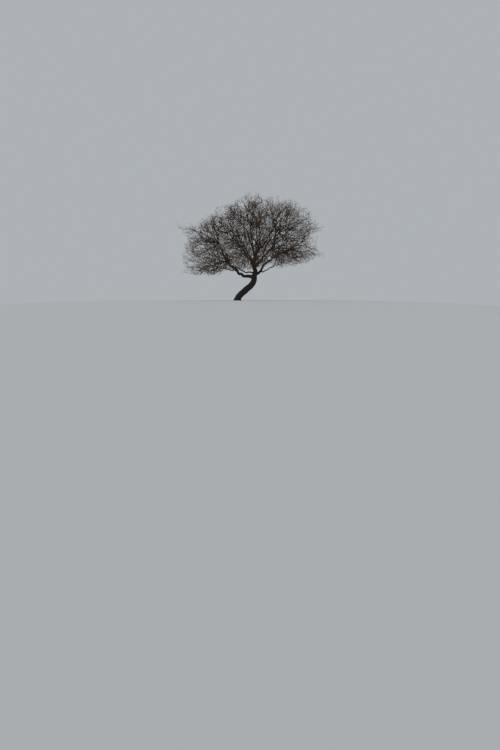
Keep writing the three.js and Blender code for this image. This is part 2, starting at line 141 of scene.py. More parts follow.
# The growth rule of the solids' twigs
growth = {
    "seed": 20471,
    "spacing": 0.305,
    "grid": (1.2, 1.3),  # how far the points are laid out, in half widths and in rises of the crown
    "jitter": 0.85,
    "over": 0.45,  # spacings that a point may lie outside before it is drawn in
    "shell": 0.9,
    "shellDepth": 0.09,
    "reach": 1.0,
    "inner": 0.62,
    "gap": 0.0003,  # between a stem and its bough's tip
    "stemLength": 0.17,
    "shortest": 0.105,
    "clear": 0.026,
    "wall": 0.032,
    "turnCost": 0.9,
    "pathShare": 0.42,
    "leastFork": math.cos(math.radians(28)),
    "mostTurn": math.cos(math.radians(90)),
    "tries": 10,
    "sideLimbs": 2,
    "cellPush": 0.52,
}


def report(words):
    print("tree:", words, flush=True)


def seededDraws(seed, count):
    draws = np.empty(count)
    state = seed
    for i in range(count):
        state = (state * 1664525 + 1013904223) & 0xFFFFFFFF
        draws[i] = state
    return draws / 2**32


def unit(v):
    return v / np.maximum(np.linalg.norm(v, axis=-1, keepdims=True), 1e-12)


def lengths(v):
    return np.linalg.norm(v, axis=1)


# From each of some points to each of some others
def distances(points, others):
    return np.linalg.norm(points[:, None] - others[None], axis=2)


# One more point at each end of a line, straight on
def extended(points):
    return np.vstack([2 * points[0] - points[1], points, 2 * points[-1] - points[-2]])


def searchTree(points):
    tree = kdtree.KDTree(len(points))
    for i, p in enumerate(points):
        tree.insert(p, i)
    tree.balance()
    return tree


def noiseAt(points, often, shift=(0, 0, 0)):
    return np.array([noise.noise(Vector(p) * often + Vector(shift)) for p in points])


# The crown's space

def crownLevel(p):
    away = p - crown["middle"]
    x, y = away[:, 0] / crown["halfWidth"], away[:, 1] / crown["halfDepth"]
    turn = np.arctan2(y, x)
    swell = 1 + sum(size * np.cos(count * turn + math.radians(at)) for count, size, at in crown["lobes"])
    across = np.hypot(x, y) / swell
    up = away[:, 2] - crown["tilt"] * away[:, 0]
    roundness = np.where(up > 0, crown["topRoundness"], crown["undersideRoundness"])
    height = np.where(up > 0, crown["rise"], crown["drop"])
    return (across**roundness + (np.abs(up) / height) ** roundness) ** (1 / roundness)


def crownOutward(p):
    away = p - crown["middle"]
    up = away[:, 2] - crown["tilt"] * away[:, 0]
    height = np.where(up > 0, crown["rise"], crown["drop"] * crown["dropOutward"])
    return unit(np.stack([away[:, 0] / crown["halfWidth"] ** 2, away[:, 1] / crown["halfDepth"] ** 2,
                          up / height**2], -1))


def isClearSpace(p):
    middle, radius = crown["hollow"]
    arch, halfWidth, rise = crown["arch"]
    inArch = np.hypot((p[:, 0] - arch[0]) / halfWidth, (p[:, 2] - arch[2]) / rise) < 1
    return (lengths(p - middle) < radius) | inArch


# Points for twigs, an even scatter that is drawn in to a shell near the crown's edge
def twigPoints(rule):
    step = rule["spacing"]
    across = math.ceil(crown["halfWidth"] * growth["grid"][0] / step)
    up = math.ceil(crown["rise"] * growth["grid"][1] / step)
    k, j, i = np.meshgrid(np.arange(-up, up + 1), np.arange(-across, across + 1),
                          np.arange(-across, across + 1), indexing="ij")
    cells = np.stack([i, j, k], -1).reshape(-1, 3).astype(float)
    cells[:, :2] += np.where(cells[:, 2:] % 2 == 0, 0, 0.5)
    draws = seededDraws(rule["seed"], 5 * len(cells)).reshape(-1, 5)
    p = (cells + growth["jitter"] * (draws[:, :3] - 0.5)) * step + crown["middle"]
    level = crownLevel(p)
    inShell = level > growth["shell"]
    kept = level <= 1 + growth["over"] * step / crown["halfDepth"]
    kept &= inShell | (draws[:, 4] <= rule["inner"])
    drawnIn = np.where(inShell, (rule["reach"] - rule["shellDepth"] * draws[:, 3]) / level, 1)[kept]
    return (p[kept] - crown["middle"]) * drawnIn[:, None] + crown["middle"]


# Limbs: the trunk and boughs, each a line of points with radii

def heading(turn, climb):
    turn, climb = math.radians(turn), math.radians(climb)
    return np.array([math.cos(climb) * math.cos(turn), math.cos(climb) * math.sin(turn), math.sin(climb)])


def trunkLine():
    given = np.array(trunk["line"], float)
    ends = extended(given)
    points, radii = [], []
    for i in range(len(given) - 1):
        p0, p1, p2, p3 = ends[i : i + 4]
        d0, d1, d2 = (math.sqrt(np.linalg.norm(b - a)) for a, b in ((p0, p1), (p1, p2), (p2, p3)))
        t1 = ((p1 - p0) / d0 - (p2 - p0) / (d0 + d1) + (p2 - p1) / d1) * d1
        t2 = ((p2 - p1) / d1 - (p3 - p1) / (d1 + d2) + (p3 - p2) / d2) * d1
        for s in np.arange(trunk["stepsEach"]) / trunk["stepsEach"]:
            points.append(p1 + t1 * s + (3 * (p2 - p1) - 2 * t1 - t2) * s**2
                          + (2 * (p1 - p2) + t1 + t2) * s**3)
            radii.append(trunk["radii"][i] * (1 - s) + trunk["radii"][i + 1] * s)
    return np.vstack([points, given[-1]]), np.array(radii + [trunk["radii"][-1]])


def makeLimbs():
    points, radii = trunkLine()
    made = {"trunk": {"points": points, "radii": radii, "parent": None, "carriesOn": False}}
    for name, parent, at, length, foot, tip, turn, climb, lift, swing, late in boughs:
        under = made[parent]["points"]
        place = at * (len(under) - 1)
        i = min(int(place), len(under) - 2)
        points = [under[i] + (under[i + 1] - under[i]) * (place - i)]
        for k in range(boughSteps):
            share = ((k + 0.5) / boughSteps) ** late
            way = heading(turn + swing * share, climb + lift * share)
            points.append(points[k] + way * length / boughSteps)
        radii = np.linspace(foot, tip, boughSteps + 1)
        made[name] = {"points": np.array(points), "radii": radii, "parent": parent, "carriesOn": at == 1}
    return made


limbs = makeLimbs()
report(f"{len(limbs)} limbs")


# Stems: the growth rule of the solids, written again

def segmentDistance(a, b, c, d):
    u, v, w = b - a, d - c, a - c
    uu, uv, vv = u @ u, v @ u, np.einsum("ij,ij->i", v, v)
    uw, vw = w @ u, np.einsum("ij,ij->i", v, w)
    flat = uu * vv - uv * uv
    s = np.where(flat < 1e-18, 0, np.clip((uv * vw - vv * uw) / np.where(flat < 1e-18, 1, flat), 0, 1))
    t = np.clip((uv * s + vw) / vv, 0, 1)
    s = np.clip((uv * t - uw) / uu, 0, 1)
    return lengths(a + s[:, None] * u - c - t[:, None] * v)


# How many tips of twigs are beyond each place
def tipsBeyond(parent):
    tips = np.zeros(len(parent), int)
    for i in range(len(parent) - 1, -1, -1):
        tips[i] = tips[i] or 1
        if parent[i] >= 0:
            tips[parent[i]] += tips[i]
    return tips


def growStems(mass):
    foot = mass["tip"] + mass["way"] * growth["gap"]
    count = len(mass["points"]) + 2
    place, way = np.zeros((count, 3)), np.zeros((count, 3))
    path, parent = np.zeros(count), np.zeros(count, int)
    children = [[] for _ in range(count)]
    place[0], way[0], parent[0] = foot, mass["way"], -1
    place[1], way[1], path[1] = foot + mass["way"] * growth["stemLength"], mass["way"], growth["stemLength"]
    children[0].append(1)
    used = 2
    starts, ends, room = [], [], []
    for name, limb in limbs.items():
        last = -1 if name == mass["name"] else len(limb["points"])
        starts.append(limb["points"][:-1][:last])
        ends.append(limb["points"][1:][:last])
        room.append(limb["radii"][:-1][:last] + growth["clear"])
    starts, ends, room = np.vstack(starts), np.vstack(ends), np.concatenate(room)
    others = np.array([m["middle"] for m in masses if m is not mass])
    apart = 2 * lengths(others - mass["middle"])

    for p in mass["points"][np.argsort(lengths(mass["points"] - foot), kind="stable")]:
        beyond = ((p - others) ** 2).sum(1) - ((p - mass["middle"]) ** 2).sum()
        if (beyond / apart).min() < growth["wall"]:
            continue
        to = p - place[:used]
        far = lengths(to)
        turn = (to * way[:used]).sum(1) / far
        price = far * (1 + growth["turnCost"] * (1 - turn)) + growth["pathShare"] * path[:used]
        for i in np.argsort(price, kind="stable")[: growth["tries"]]:
            if i == 0 or len(children[i]) > growth["sideLimbs"]:
                continue
            if far[i] < growth["shortest"] or turn[i] < growth["mostTurn"]:
                continue
            if any(way[c] @ to[i] / far[i] > growth["leastFork"] for c in children[i]):
                continue
            if (segmentDistance(place[i], p, starts, ends) < room).any():
                continue
            k = np.arange(used)
            k = k[(k > 0) & (k != i) & (k != parent[i]) & (parent[:used] != i)]
            if (lengths(place[k] - p) < growth["shortest"] / 2).any():
                continue
            if (segmentDistance(place[i], p, place[parent[k]], place[k]) < growth["clear"]).any():
                continue
            place[used], way[used], path[used], parent[used] = p, to[i] / far[i], path[i] + far[i], i
            children[i].append(used)
            used += 1
            break

    tips = tipsBeyond(parent[:used])
    for c in children:
        c.sort(key=lambda n: -tips[n])
    return place[:used], children[:used]


carrying = {limb["parent"] for limb in limbs.values() if limb["carriesOn"]}
masses = []
for name, limb in limbs.items():
    if name == "trunk" or name in carrying:
        continue
    tip = limb["points"][-1]
    way = unit(tip - limb["points"][-2])
    masses.append({"name": name, "tip": tip, "way": way, "radius": limb["radii"][-1],
                   "middle": tip + way * growth["cellPush"]})
coarse = twigPoints(growth)
coarse = np.vstack([crown["farTwigs"], coarse[~isClearSpace(coarse)]])
middles = np.array([m["middle"] for m in masses])
nearest = distances(coarse, middles).argmin(1)
for i, mass in enumerate(masses):
    mass["points"] = coarse[nearest == i]
    mass["stems"] = growStems(mass)
report(f"{sum(len(m['stems'][0]) for m in masses)} stem nodes in {len(masses)} masses")


# One field bends limbs and twigs alike, so that what is joined stays joined.

crooks = {"from": 0.2, "over": 0.8, "waves": [(0.08, 1.9), (0.05, 6.3)]}  # heights, then size and number
noiseShifts = [(0, 0, 0), (31.4, 7.7, 2.9), (5.2, 43.1, 17.6)]


def noiseVector(v):
    return Vector([noise.noise(v + Vector(shift)) for shift in noiseShifts])


def crook(p):
    v = Vector(p)
    grip = min(1, max(0, (v.z - crooks["from"]) / crooks["over"]))
    bend = sum((size * noiseVector(v * often) for size, often in crooks["waves"]), Vector())
    return np.array(v + grip * bend)


# Points along a Catmull-Rom line, and how far along the given ones each is
def smoothLine(points, step):
    ends = extended(points)
    made, share = [points[0]], [0.0]
    for i in range(len(points) - 1):
        p0, p1, p2, p3 = ends[i : i + 4]
        count = max(1, round(np.linalg.norm(p2 - p1) / step))
        for s in np.arange(1, count + 1) / count:
            made.append(0.5 * (2 * p1 + (p2 - p0) * s + (2 * p0 - 5 * p1 + 4 * p2 - p3) * s**2
                               + (3 * p1 - p0 - 3 * p2 + p3) * s**3))
            share.append(i + s)
    return np.array(made), np.array(share)


# How far the solids' twigs are carried on here
fineTwigs = {
    "seed": 733,
    "spacing": 0.13,
    "reach": 0.995,  # the crown's level that the fine twigs' points stop at, below the shoots
    "shellDepth": 0.17,
    "inner": 1.0,
    "clear": 0.03,  # between the points and a limb's skin
    "clumps": (1.08, 0.324),  # how strongly the twigs gather in clumps, and how much is left out
    "clumpNoise": (2.1, 5.3),
    "gather": (0.46, 0.07, 0.2),  # the share left out between the stems, and where it sets in and is full
    "ragged": 0.28,  # how far tufts and dents move the level that the points stop at
    "raggedReach": 0.96,
    "raggedNoise": [(1, 2.1, (0, 0, 0)), (0.6, 4.7, (9, 4, 2))],  # share, number, shift
    "raggedDepth": 0.35,  # tufts and dents are drawn out by this in depth, so that they show in the outline
    "tries": 24,
    "rounds": 3,
    "shortest": 0.035,
    "furthest": 0.36,
    "mostTurn": math.cos(math.radians(88)),
    "turnCost": 0.2,
    "pathShare": 0.3,
    "step": 0.1,  # between the places on a stem that fine twigs may leave from
    "limbFrom": 0.35,  # distance from the trunk beyond which they may leave the boughs too
    "limbPlaces": (3, 6),  # steps of a bough's line before the first such place, and between them
    "limbPath": 0.3,  # what such a place counts as its distance along a stem
    "straightness": 0.45,  # the less, the more a stem goes on straight rather than with the most tips
    "stoutFrom": 5,  # tips beyond a place that make its stem a stout one
    "easings": (9, 0.25),  # times that a stout stem's corners are eased, and how much
    "knots": 0.02,  # how far thin twigs stray from side to side
    "tipRadius": 0.0041,
    "thicken": 0.47,  # a twig's radius goes with this power of the number of tips beyond it
    "taper": (0.5, 1.5),  # how much thinner than at a bough's tip the stoutest stems are, this far out
    "thinBeyond": (4.0, 0.98, 0.4),  # how fast twigs thin beyond a level of the crown, and the least share
    "hollow": (np.array([0.8, 0.0, 1.45]), 0.4),  # middle, radius
    "overOpen": 0.07,  # how far the points keep above the underside
    # X and level along the underside, then tufts that hang from it: size, and numbers along X and Y
    "underside": ([-2.6, -2.3, -1.7, -0.95, -0.5, -0.1, 0.15, 0.6, 0.95, 1.4, 1.9, 2.35, 2.8, 3.4],
                  [1.3, 1.22, 1.16, 1.24, 1.38, 1.42, 1.36, 1.4, 1.46, 1.37, 1.43, 1.44, 1.48, 1.68]),
    "hangs": [(0.07, 16, 2), (0.05, 7.3, -1)],
    # X, level, width, change of the reach
    "swells": [(-0.45, 4.5, 0.45, -0.1), (-0.95, 4.2, 0.45, -0.07), (-1.7, 3.7, 0.4, -0.09),
               (0.75, 4.7, 0.7, -0.05), (2.5, 4.3, 0.5, 0.02), (-2.4, 2.35, 0.5, 0.035),
               (2.5, 1.75, 0.8, 0.05), (3.6, 2.95, 0.55, -0.07), (3.35, 1.95, 0.35, 0.05),
               (0.15, 4.7, 0.4, -0.075), (-1.3, 3.95, 0.4, -0.05), (3.5, 2.4, 0.35, -0.1),
               (-2.3, 1.8, 0.3, 0.06), (-2.2, 3.05, 0.3, -0.04), (3.2, 3.7, 0.3, 0.05),
               (2.8, 1.65, 0.4, 0.04)],
    # Points of more tufts, then the points round each, how far they spread, and how far a tuft counts
    "tuftsAt": [(-2.2, -0.3, 3.28), (-2.36, 0.05, 3.36), (-2.0, -0.1, 3.42), (-2.1, 0.2, 3.3),
                (-2.45, -0.4, 3.22)],
    "tuft": (13, 0.14, 0.3),
    "gapEdge": [(0.35, 2, 9, 0), (0.25, 3, 0, 7)],  # how uneven their edges are
    # X, level, radius of gaps that go right through
    "gaps": [(-0.4, 2.36, 0.11), (-0.17, 3.25, 0.1), (2.0, 2.6, 0.09), (-0.66, 1.84, 0.08),
             (1.72, 1.74, 0.1), (0.36, 2.82, 0.08), (-0.44, 3.52, 0.08), (-1.1, 3.04, 0.09),
             (2.7, 3.15, 0.08), (0.9, 2.35, 0.07), (-1.62, 1.94, 0.09), (-1.02, 1.62, 0.08),
             (-1.25, 2.2, 0.06), (-2.0, 1.9, 0.07), (-1.9, 1.5, 0.07), (0.39, 3.95, 0.08),
             (1.55, 4.18, 0.09), (2.46, 4.02, 0.06), (2.85, 3.35, 0.07), (-1.3, 1.5, 0.07)],
}

# Every place on the twigs: where it is, what it grows from, its mass, and how far it is along its stem
places, parents, massOf, paths, ways = [], [], [], [], []


def addPlace(p, parent, mass):
    row = len(places)
    places.append(p)
    parents.append(parent)
    massOf.append(mass)
    if parent < 0:
        paths.append(0.0)
        ways.append(masses[mass]["way"])
    else:
        step = p - places[parent]
        far = math.sqrt(step @ step)
        paths.append(paths[parent] + far)
        ways.append(step / max(far, 1e-9))
    return row


def addStems(index, mass):
    place, children = mass["stems"]
    runs = [(0, None, None)]
    while runs:
        first, fork, row = runs.pop()
        run = [first]
        while children[run[-1]]:
            run.append(children[run[-1]][0])
        given = place[run] if fork is None else np.vstack([place[fork], place[run]])
        line, share = smoothLine(given, fineTwigs["step"])
        if fork is None:
            row = addPlace(crook(line[0]), -1, index)
        for p, s in zip(line[1:], share[1:]):
            row = addPlace(crook(p), row, index)
            if s == round(s):
                node = run[int(s)] if fork is None else run[int(s) - 1]
                runs += [(child, node, row) for child in children[node][1:]]


for index, mass in enumerate(masses):
    addStems(index, mass)
report(f"{len(places)} places along the stems")


# Limbs drawn finely: each point has its radius, its frame and how far it is along the limb

limbStep = 0.02


def fineLimb(limb):
    line, share = smoothLine(limb["points"], limbStep)
    radii = np.interp(share, range(len(limb["radii"])), limb["radii"])
    line = np.array([crook(p) for p in line])
    along = unit(np.gradient(line, axis=0))
    far = np.concatenate([[0], np.cumsum(lengths(np.diff(line, axis=0)))])
    side = np.eye(3)[1 if abs(along[0][1]) < 0.8 else 0]
    sides = []
    for way in along:
        side = unit(side - way * (side @ way))
        sides.append(side)
    return {"line": line, "radii": radii, "along": along, "side": np.array(sides), "far": far}


# Each also knows its point on its parent's line, and its foot's distance from the trunk.
drawn = {}
for name, limb in limbs.items():
    made = drawn[name] = fineLimb(limb)
    made["start"] = 0.0
    if name != "trunk":
        under = drawn[limb["parent"]]
        made["foot"] = lengths(under["line"] - made["line"][0]).argmin()
        if limb["parent"] != "trunk":
            made["start"] = under["start"] + under["far"][made["foot"]]


# Fine twigs: the same rule, at a finer spacing

tuftPoints = np.array(crown["farTwigs"] + fineTwigs["tuftsAt"])


# Where the crown's level goes over a limit that swells and dents here and there, except in tufts
def isOutOfReach(p, limit):
    for x, z, width, change in fineTwigs["swells"]:
        limit = limit + change * np.exp(-((p[:, 0] - x) ** 2 + (p[:, 2] - z) ** 2) / width**2)
    near = distances(p, tuftPoints).min(1) < fineTwigs["tuft"][2]
    return (crownLevel(p) > limit) & ~near


# What the twigs leave open under the crown, where tufts hang down, and round the fork
def isLeftOpen(p, over):
    middle, radius = fineTwigs["hollow"]
    x, y = p[:, 0], p[:, 1]
    low = np.interp(x, *fineTwigs["underside"])
    for size, alongX, alongY in fineTwigs["hangs"]:
        low = low + size * np.sin(alongX * x + alongY * y)
    return (lengths(p - middle) < radius) | (p[:, 2] < low + over)


# Uneven gaps in the crown, which only shoots reach into
def isGap(p):
    found = np.zeros(len(p), bool)
    for x, z, radius in fineTwigs["gaps"]:
        turn = np.arctan2(p[:, 2] - z, p[:, 0] - x)
        edge = radius * (1 + sum(size * np.sin(number * turn + alongX * x + alongZ * z)
                                 for size, number, alongX, alongZ in fineTwigs["gapEdge"]))
        found |= np.hypot(p[:, 0] - x, p[:, 2] - z) < edge
    return found


def isFree(points):
    line = np.vstack([limb["line"][::4] for limb in drawn.values()])
    radii = np.concatenate([limb["radii"][::4] for limb in drawn.values()])
    core = searchTree(line)
    found = [core.find(p) for p in points]
    return np.array([far > radii[row] + fineTwigs["clear"] for _, row, far in found])


def finePoints():
    fine = twigPoints(fineTwigs)
    draws = np.random.default_rng(fineTwigs["seed"])
    number, spread, _ = fineTwigs["tuft"]
    tuft = np.repeat(tuftPoints, number, axis=0)
    tuft = tuft + draws.normal(size=tuft.shape) * spread
    tuft = tuft[((tuft > lowest) & (tuft < highest)).all(1)]
    isTuft = np.arange(len(fine) + len(tuft)) >= len(fine)
    fine = np.vstack([fine, tuft])
    clump = sum(noiseAt(fine, often) for often in fineTwigs["clumpNoise"])
    drawnOut = fine * [1, fineTwigs["raggedDepth"], 1]
    ragged = sum(share * noiseAt(drawnOut, often, shift) for share, often, shift in fineTwigs["raggedNoise"])
    stems = searchTree(places)
    share, low, high = fineTwigs["gather"]
    between = np.clip((np.array([stems.find(p)[2] for p in fine]) - low) / (high - low), 0, 1)
    strength, leftOut = fineTwigs["clumps"]
    kept = clump * strength + draws.random(len(fine)) > leftOut
    kept &= draws.random(len(fine)) > share * between
    kept = isFree(fine) & (kept | isTuft) & ~isGap(fine)
    kept &= ~isOutOfReach(fine, fineTwigs["raggedReach"] + fineTwigs["ragged"] * ragged)
    kept &= ~isLeftOpen(fine, fineTwigs["overOpen"])
    return fine[kept]


# Places on the boughs themselves that twigs may leave from
def addLimbPlaces():
    first, step = fineTwigs["limbPlaces"]
    for index, mass in enumerate(masses):
        limb = drawn[mass["name"]]
        for i in range(first, len(limb["line"]) - first, step):
            if limb["start"] + limb["far"][i] > fineTwigs["limbFrom"]:
                row = addPlace(limb["line"][i], -1, index)
                ways[row], paths[row] = limb["along"][i], fineTwigs["limbPath"]


# The place that the twig to a point leaves from, and None where no twig may reach it
def bestStart(p, tree, rowOf, forks):
    best, bestPrice = None, math.inf
    for _, i, far in tree.find_n(p, fineTwigs["tries"]):
        row = rowOf.get(i)
        if row is None or not fineTwigs["shortest"] <= far <= fineTwigs["furthest"]:
            continue
        if far + fineTwigs["pathShare"] * paths[row] >= bestPrice:
            continue
        to = (p - places[row]) / far
        turn = float(to @ ways[row])
        price = far * (1 + fineTwigs["turnCost"] * (1 - turn)) + fineTwigs["pathShare"] * paths[row]
        if turn < fineTwigs["mostTurn"] or price >= bestPrice:
            continue
        if len(forks.get(row, ())) > growth["sideLimbs"]:
            continue
        if any(float(other @ to) > growth["leastFork"] for other in forks.get(row, ())):
            continue
        best, bestPrice = row, price
    return best


def growFine():
    fine = finePoints()
    nearest = distances(fine, middles).argmin(1)
    feet = np.array([m["tip"] for m in masses])
    fine = fine[np.argsort(lengths(fine - feet[nearest]), kind="stable")]
    addLimbPlaces()
    stemCount = len(places)
    tree = searchTree(places + list(fine))
    rowOf = {i: i for i in range(stemCount)}
    forks = {}
    waiting = list(range(len(fine)))
    for _ in range(fineTwigs["rounds"]):
        left = []
        for i in waiting:
            best = bestStart(fine[i], tree, rowOf, forks)
            if best is None:
                left.append(i)
                continue
            row = addPlace(fine[i], best, massOf[best])
            rowOf[stemCount + i] = row
            forks.setdefault(best, []).append(ways[row])
        waiting = left
    report(f"{len(places)} places with the fine twigs, {len(waiting)} of {len(fine)} points missed")


growFine()
place, parent, mass, way, path = (np.array(column) for column in (places, parents, massOf, ways, paths))
count = len(place)

grown = np.flatnonzero(parent >= 0)
tips = tipsBeyond(parent)

# The twig that goes on from each place
children = [[] for _ in range(count)]
for i in grown[::-1]:
    children[parent[i]].append(i)
goesOn = np.full(count, -1)
for i, c in enumerate(children):
    if c:
        goesOn[i] = max(c, key=lambda n: tips[n] * (fineTwigs["straightness"] + way[n] @ way[i]))

# Stout stems are eased and thin twigs get knots.
inside = (parent >= 0) & (goesOn >= 0)
isStout = tips >= fineTwigs["stoutFrom"]
stout, thin = np.flatnonzero(inside & isStout), np.flatnonzero(inside & ~isStout)
times, ease = fineTwigs["easings"]
for _ in range(times):
    place[stout] += ease * (place[parent[stout]] + place[goesOn[stout]] - 2 * place[stout])
place[thin] += fineTwigs["knots"] * np.random.default_rng(fineTwigs["seed"]).normal(size=(len(thin), 3))
way[grown] = unit(place[grown] - place[parent[grown]])

# A twig's radius by the pipe rule, held under its bough's, and less where it stands out of the crown
radius = np.empty(count)
for m, item in enumerate(masses):
    mine = mass == m
    free = fineTwigs["tipRadius"] * tips[mine] ** fineTwigs["thicken"]
    most = (item["radius"] ** -4 - free.max() ** -4) ** -0.25 if free.max() > item["radius"] * 1.01 else 1.0
    taper, over = fineTwigs["taper"]
    most = most * (1 - taper * np.clip(path[mine] / over, 0, 1))
    radius[mine] = (free**-4 + most**-4) ** -0.25
thinning, beyond, least = fineTwigs["thinBeyond"]
radius *= np.clip(1 - thinning * (crownLevel(place) - beyond), least, 1)

# Lines of twigs: each begins in the middle of the twig that it leaves, and follows the stoutest on.
twigLines = []
for i in range(count):
    if parent[i] >= 0 and goesOn[parent[i]] == i:
        continue
    rows = [i]
    while goesOn[rows[-1]] >= 0:
        rows.append(goesOn[rows[-1]])
    line = [parent[i]] + rows if parent[i] >= 0 else rows
    if len(line) > 1:
        twigLines.append(line)
ends = np.array([line[-1] for line in twigLines])
report(f"{len(twigLines)} lines of twigs")


# Shoots and spurs: each kind has its length and how much rarer long ones are, its radius at the foot and
# the most of its twig's, its bend, and its line, which is how far along, how far aside and how wide.

shoots = {
    "seed": 91,
    "reach": 1.035,  # the crown's level that the shoots stop at
    "overOpen": -0.01,  # how far they keep above the underside: they hang a little under it
    "shorten": (7, 0.78),  # times that one outside is tried shorter, and how much
    "outward": 0.22,
    "upward": 0.16,
    "stray": 1.1,
    "onward": 0.5,  # the share of these three for a shoot that carries its twig on
    "long": (0.05, 0.3, 0.5),  # the share of end shoots that are long ones, and their lengths
    "beside": (0.3, 0.08),  # the share of ends with a second shoot, and with a third
    "besideLength": 0.75,
    "besideWay": (0.55, 0.6),  # along the twig, and aside
    "uneven": (0.92, 1.08),  # share of a twig's radius from place to place
    "sprays": 1.3,  # sprays of one tone to the metre
    "sprayTone": (0.75, 0.25),  # how much the tone changes from spray to spray, and from twig to twig
}
endShoot = {
    "length": (0.09, 0.25), "rarer": 1.2, "least": 0.03, "foot": (0.00288, 0.00432), "ofTwig": 0.9,
    "bend": 0.08,
    "line": [(0, 0, 1), (0.36, 1, 0.86), (0.7, 0.9, 0.7), (1, 0, 0.5)],
}
spur = {
    "length": (0.03, 0.13), "rarer": 1.6, "least": 0.02, "foot": (0.0018, 0.003), "ofTwig": 0.8,
    "bend": 0.07,
    "line": [(0, 0, 1), (0.55, 1, 0.75), (1, 0, 0.4)],
    "share": 0.3,  # spurs for each place on a twig that is thin enough
    "thinnerThan": 0.009,
    "lean": (38, 72),  # degrees from the twig
    "roll": 2.39996,  # from one spur to the next
    "outward": 0.25,
    "upward": 0.16,
}
random = np.random.default_rng(shoots["seed"])


def between(limits, draws):
    low, high = limits
    return low + (high - low) * draws


def across(ways, roll):
    pick = np.where(np.abs(ways[:, 2:]) < 0.8, [[0.0, 0.0, 1.0]], [[1.0, 0.0, 0.0]])
    side = unit(np.cross(ways, pick))
    other = np.cross(ways, side)
    return side * np.cos(roll)[:, None] + other * np.sin(roll)[:, None]


# Shortens what would leave the crown, and tells what is long enough to keep.
def withinCrown(start, to, length, least):
    length = length.copy()
    times, shorter = shoots["shorten"]
    for _ in range(times):
        tip = start + to * length[:, None]
        out = isOutOfReach(tip, shoots["reach"]) | (tip < lowest).any(1) | (tip > highest).any(1)
        out |= isLeftOpen(tip, shoots["overOpen"])
        length[out] *= shorter
    return length, ~out & (length > least)


def drawShoots(kind, rows, start, to, length):
    length, keep = withinCrown(start, to, length, kind["least"])
    bend = unit(random.normal(size=to.shape)) * kind["bend"] * length[:, None]
    points = [start + to * along * length[:, None] + bend * aside for along, aside, _ in kind["line"]]
    foot = np.minimum(radius[rows] * kind["ofTwig"], between(kind["foot"], random.random(len(rows))))
    radii = foot[:, None] * np.array([width for _, _, width in kind["line"]])
    return {"lines": np.stack(points, 1), "radii": radii, "mass": mass[rows], "keep": keep}


# Shoots at the ends: the first carries its twig on, and the others leave beside it.
def endShoots(rows, isFirst):
    n = len(rows)
    start = place[rows]
    length = between(endShoot["length"], random.random(n) ** endShoot["rarer"])
    share, *longOnes = shoots["long"]
    length = np.where(random.random(n) < share, between(longOnes, random.random(n)), length)
    stray = unit(random.normal(size=(n, 3)))
    to, ease = way[rows], shoots["onward"]
    if not isFirst:
        along, aside = shoots["besideWay"]
        to, ease = way[rows] * along + across(way[rows], random.random(n) * 2 * math.pi) * aside, 1
        length *= shoots["besideLength"]
    to = unit(to + crownOutward(start) * ease * shoots["outward"] + [0, 0, ease * shoots["upward"]]
              + stray * ease * shoots["stray"])
    return drawShoots(endShoot, rows, start, to, length)


# Spurs along the twigs, short and nearly straight
def sideSpurs(rows):
    rows = np.repeat(rows, np.floor(spur["share"] + random.random(len(rows))).astype(int))
    n = len(rows)
    at = random.random(n)
    start = place[parent[rows]] * (1 - at)[:, None] + place[rows] * at[:, None]
    lean = np.radians(between(spur["lean"], random.random(n)))[:, None]
    out = across(way[rows], np.arange(n) * spur["roll"])
    to = unit(way[rows] * np.cos(lean) + out * np.sin(lean) + crownOutward(start) * spur["outward"]
              + [0, 0, spur["upward"]])
    return drawShoots(spur, rows, start, to, between(spur["length"], random.random(n) ** spur["rarer"]))


onward = endShoots(ends, True)
beside = [endShoots(ends[random.random(len(ends)) < share], False) for share in shoots["beside"]]
spurs = sideSpurs(np.flatnonzero((parent >= 0) & (radius < spur["thinnerThan"])))
report(f"{onward['keep'].sum()} shoots at ends, {sum(b['keep'].sum() for b in beside)} beside them, "
       f"{spurs['keep'].sum()} spurs")


# One spray of twigs is browner than the next.
def sprayTone(points):
    spray, own = shoots["sprayTone"]
    found = noiseAt(points, shoots["sprays"])
    return np.clip(0.5 + spray * found + own * (random.random(len(points)) - 0.5), 0, 1)


# The onward shoots lengthen their twigs' lines.
allPoints = np.vstack([place, onward["lines"][:, 1:].reshape(-1, 3)])
allRadii = radius * between(shoots["uneven"], random.random(count))
allRadii = np.concatenate([allRadii, onward["radii"][:, 1:].ravel()])
for i in grown:  # no twig is thicker than what it grows from
    allRadii[i] = min(allRadii[i], allRadii[parent[i]])
lines = [line + ([count + 3 * i + k for k in range(3)] if onward["keep"][i] else [])
         for i, line in enumerate(twigLines)]
second = np.array([line[1] for line in lines])
lineMass, lineRadius, lineTone = mass[second], allRadii[second], sprayTone(allPoints[second])


# Meshes of many tubes at once: every line begins at a ring with a cap and ends in a point.

